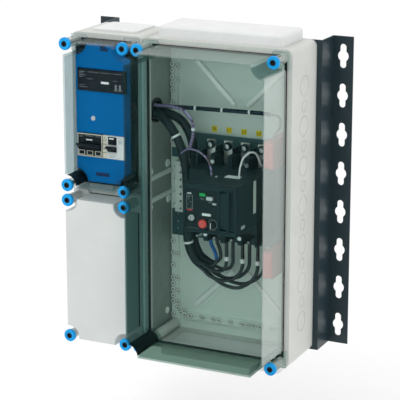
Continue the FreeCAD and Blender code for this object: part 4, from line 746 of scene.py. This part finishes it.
def relay_and_switches():
    """Labels, windows, frames and marks on the blue cover and the devices behind it."""
    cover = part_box("device_cover")[0][1]
    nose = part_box("protection_relay")[0][1]
    on_face("relay_label", [(-152.4, -136, 209.0, 213.2)], nose, 0.0004, "ink")
    on_face("relay_window", [(-160, -130, 198, 206.5)], nose, 0.0003, "panel")
    marks = [(-199, -187, 228.6, 229.8), (-199, -190, 225.4, 226.4), (-199, -185, 222.2, 223.2),
             (-199, -192, 219.0, 220.0), (-180, -158, 229.2, 230.0), (-154, -132, 229.2, 230.0),
             (-126, -108, 229.2, 230.0), (-182, -170, 216.0, 216.7), (-199, -188, 203.5, 204.3),
             (-199, -182, 199.8, 200.6), (-128, -118, 216.0, 216.7), (-126, -106, 197.6, 198.4)]
    on_face("relay_marks", marks, nose, 0.00025, "dim_ink", 0.0001)
    dial = [(0.01, 1.0), (0.6, 1.0), (0.7, 0.5), (1.7, 0.5), (2.1, 0.8), (2.5, 0.5), (2.6, 0.0)]
    turned("relay_dials", dial, [(x * MM, nose, z * MM) for x, z in
                                 ((-121, 207), (-112.5, 207), (-121, 201.5), (-112.5, 201.5))],
           FRONT, "dim_ink", steps=18)
    frames("relay_border", [(-202.4, -100.6, 193.6, 234.6)], nose, 0.0006, 1.1, "black")

    frames("three_pole_border", [(-204.6, -151.4, 66.6, 110.6)], nose, 0.0008, 1.7, "cream")
    frames("three_pole_windows", [(x, x + 13.2, 69.2, 78.2) for x in (-202.2, -184.7, -167.2)], nose,
           0.0006, 1.1, "cream")
    on_face("three_pole_label", [(-186, -173, 97.6, 100.2)], nose, 0.0004, "ink")
    on_face("three_pole_marks", [(-201, -192, 106.0, 106.8), (-188, -170, 106.0, 106.8),
                                 (-166, -156, 106.0, 106.8), (-201, -193, 103.4, 104.0)],
            nose, 0.00025, "dim_ink", 0.0001)
    on_face("auxiliary_slits", [(-150.4, -142.6, z, z + 0.9) for z in (77.5, 93.5, 101.0)], nose,
            0.0003, "ink_and_shade_black", 0.0001)
    on_face("auxiliary_marks", [(-148.8, -144.4, 84.0, 86.6), (-148.8, -144.4, 105.0, 107.0)], nose,
            0.0004, "dim_ink", 0.0001)
    on_face("residual_patch", [(-139.2, -120.8, 93.8, 109.2)], nose, 0.0004, "black")
    on_face("residual_label", [(-136.6, -127.0, 104.4, 107.0)], nose, 0.0007, "ink", 0.0001)
    on_face("residual_button", [(-117.0, -109.0, 97.0, 104.0)], nose, 0.0012, "light_grey",
            0.0006)
    on_face("residual_marks", [(-118.0, -107.0, 107.0, 107.8), (-138.0, -124.0, 72.0, 72.8),
                               (-138.0, -128.0, 69.6, 70.3)], nose, 0.00025, "dim_ink", 0.0001)

    # The navy slot stands in for the dark opening in the cover: painted shade.
    on_face("cover_slot", [(-155.2, -138.4, 270.2, 276.0)], cover, 0.0003, "navy")
    on_face("cover_label", [(-167.6, -138.7, 29.8, 36.8)], cover, 0.0004, "navy")
    frames("cover_label_border", [(-168.4, -137.9, 29.0, 37.6)], cover, 0.0005, 0.8, "blue_cover")


def operator_details():
    """Marks and labels on the motor operator, and the screws and collars of the breaker."""
    case_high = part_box("operator_case")[1]
    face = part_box("control_panel")[0][1]
    frames("display_border", [(51.6, 64.6, 7.6, 33.4)], face, 0.0005, 0.8, "dim_ink")
    on_face("display_marks", [(53.4, 59.0, 29.0, 30.2), (53.4, 57.0, 24.6, 25.4), (58.4, 62.6, 20.2, 21.0),
                              (53.4, 56.0, 15.6, 16.6), (60.0, 62.8, 11.4, 12.2)],
            face, 0.0003, "dim_ink", 0.0001)
    on_face("display_caption", [(53.0, 61.5, 35.6, 37.4)], face, 0.0004, "ink", 0.0001)
    on_face("red_bar", [(52.8, 63.8, 4.4, 6.4)], face, 0.0004, "red")
    on_face("name_plate", [(83.4, 100.6, -2.6, 2.2)], face, 0.0009, "ink", 0.0005)
    frames("state_border", [(76.2, 91.0, 31.8, 40.6)], face, 0.0006, 1.2, "slot")
    on_face("state_window", [(77.6, 89.6, 33.2, 39.2)], face, 0.0004, "green")
    on_face("state_marks", [(103.6, 111.6, 19.6, 23.2), (96.0, 101.0, 24.0, 24.8), (79.0, 87.0, 28.4, 29.0)],
            face, 0.0004, "light_grey")
    on_face("panel_ticks", [(x, x + 1.6, -28.8, -27.4) for x in (52.5, 57, 61.5, 66, 70.5, 75, 98, 103, 108)],
            face, 0.0003, "dim_ink", 0.0001)
    ring = [(8.6, 0.0), (8.8, 0.5), (9.5, 0.5), (9.7, 0.0)]
    low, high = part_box("mode_selector")
    middle = (low[0] + high[0]) / 2
    turned("selector_ring", ring, [(middle, face, (low[2] + high[2]) / 2)], FRONT, "dim_ink",
           steps=36)
    slabs("selector_mark", [((middle - 0.0006, low[1] - 0.0003, low[2] + 0.0022),
                             (middle + 0.0006, low[1] + 0.0002, high[2] - 0.0020))], "ink",
          "mode_selector", 0.0001)
    low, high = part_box("stop_button")
    mark = [(3.4, 0.0), (3.5, 0.25), (4.3, 0.25), (4.4, 0.0)]
    turned("stop_mark", mark, [((low[0] + high[0]) / 2, low[1], (low[2] + high[2]) / 2)], FRONT,
           "pale_red", "stop_button")
    low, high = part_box("lock_knob")
    middle = (low[0] + high[0]) / 2
    slabs("knob_mark", [((middle - 0.0005, low[1] - 0.00025, low[2] + 0.0014),
                         (middle + 0.0005, low[1] + 0.0002, high[2] - 0.0014))], "ink_and_shade_black",
          "lock_knob", 0.0001)

    side = case_high[0]
    slabs("side_scale", [((side - 0.0002, -0.1755, -0.010), (side + 0.0005, -0.1640, 0.0515))], "strip")
    slabs("side_plate", [((side - 0.0002, -0.2290, -0.0265), (side + 0.0004, -0.2130, -0.0205))],
          "light_grey")
    roof = case_high[2]
    slabs("roof_label", [((0.0985, -0.1870, roof - 0.0002), (0.1270, -0.1700, roof + 0.0004))], "ink")
    dome = [(0.01, 1.3), (1.2, 1.3), (2.1, 0.9), (2.5, 0.4), (2.6, 0.0)]
    turned("roof_screw", dome, [(0.084, -0.190, roof)], (0, 0, 1), "zinc")
    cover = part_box("breaker_cover")[0]
    pole_pitch = 0.035
    poles = [cover[0] + pole_pitch * (k + 0.5) for k in range(4)]
    turned("cover_screws", dome, [(x, cover[1], cover[2] + 0.0085) for x in poles], FRONT, "steel")
    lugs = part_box("upper_lugs")
    collar = [(5.2, 0.0), (5.2, 8.6), (5.8, 9.4), (7.2, 9.4), (7.9, 8.6), (8.1, 0.0)]
    turned("lug_collars", collar, [(x, lugs[0][1], lugs[1][2] - 0.009) for x in poles], FRONT, "breaker")


def plate_crest():
    """The part of the mounting plate that stands up behind the upper terminals."""
    low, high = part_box("mounting_plate")
    left, rise = -0.022, 0.034
    slabs("plate_crest", [((left, low[1], high[2] - 0.0002), (high[0], high[1], high[2] + rise))],
          "plate", bevel=0.0006)


def wire_markers():
    """Greenish yellow bands where the conductors enter the clamps."""
    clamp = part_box("breaker_base")[0][2]
    band = [(3.45, -3.5), (4.0, -3.4), (4.2, -2.8), (4.2, 2.8), (4.0, 3.4), (3.45, 3.5)]
    turned("clamp_bands", band, [(x, -0.102, clamp - 0.0062) for x in (0.031, 0.0645, 0.098, 0.1295)],
           (0, 0, 1), "earth", steps=20)


def phase_names():
    """N and L1 to L3 on the four yellow labels."""
    low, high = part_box("phase_labels")
    side = 0.011
    pitch = (high[0] - low[0] - side) / 3
    for index, text in enumerate(("N", "L1", "L2", "L3")):
        spot = (low[0] + side / 2 + pitch * index, low[1] - 0.0001, (low[2] + high[2]) / 2)
        lettering("phase_name_" + text.lower(), text, spot, 0.0085, "ink_and_shade_black")


make_camera()
MATERIALS = make_materials()
make_stage()
finish_nodes()
fastener_sockets()
box_mouldings()
scoops()
relay_and_switches()
operator_details()
plate_crest()
wire_markers()
phase_names()
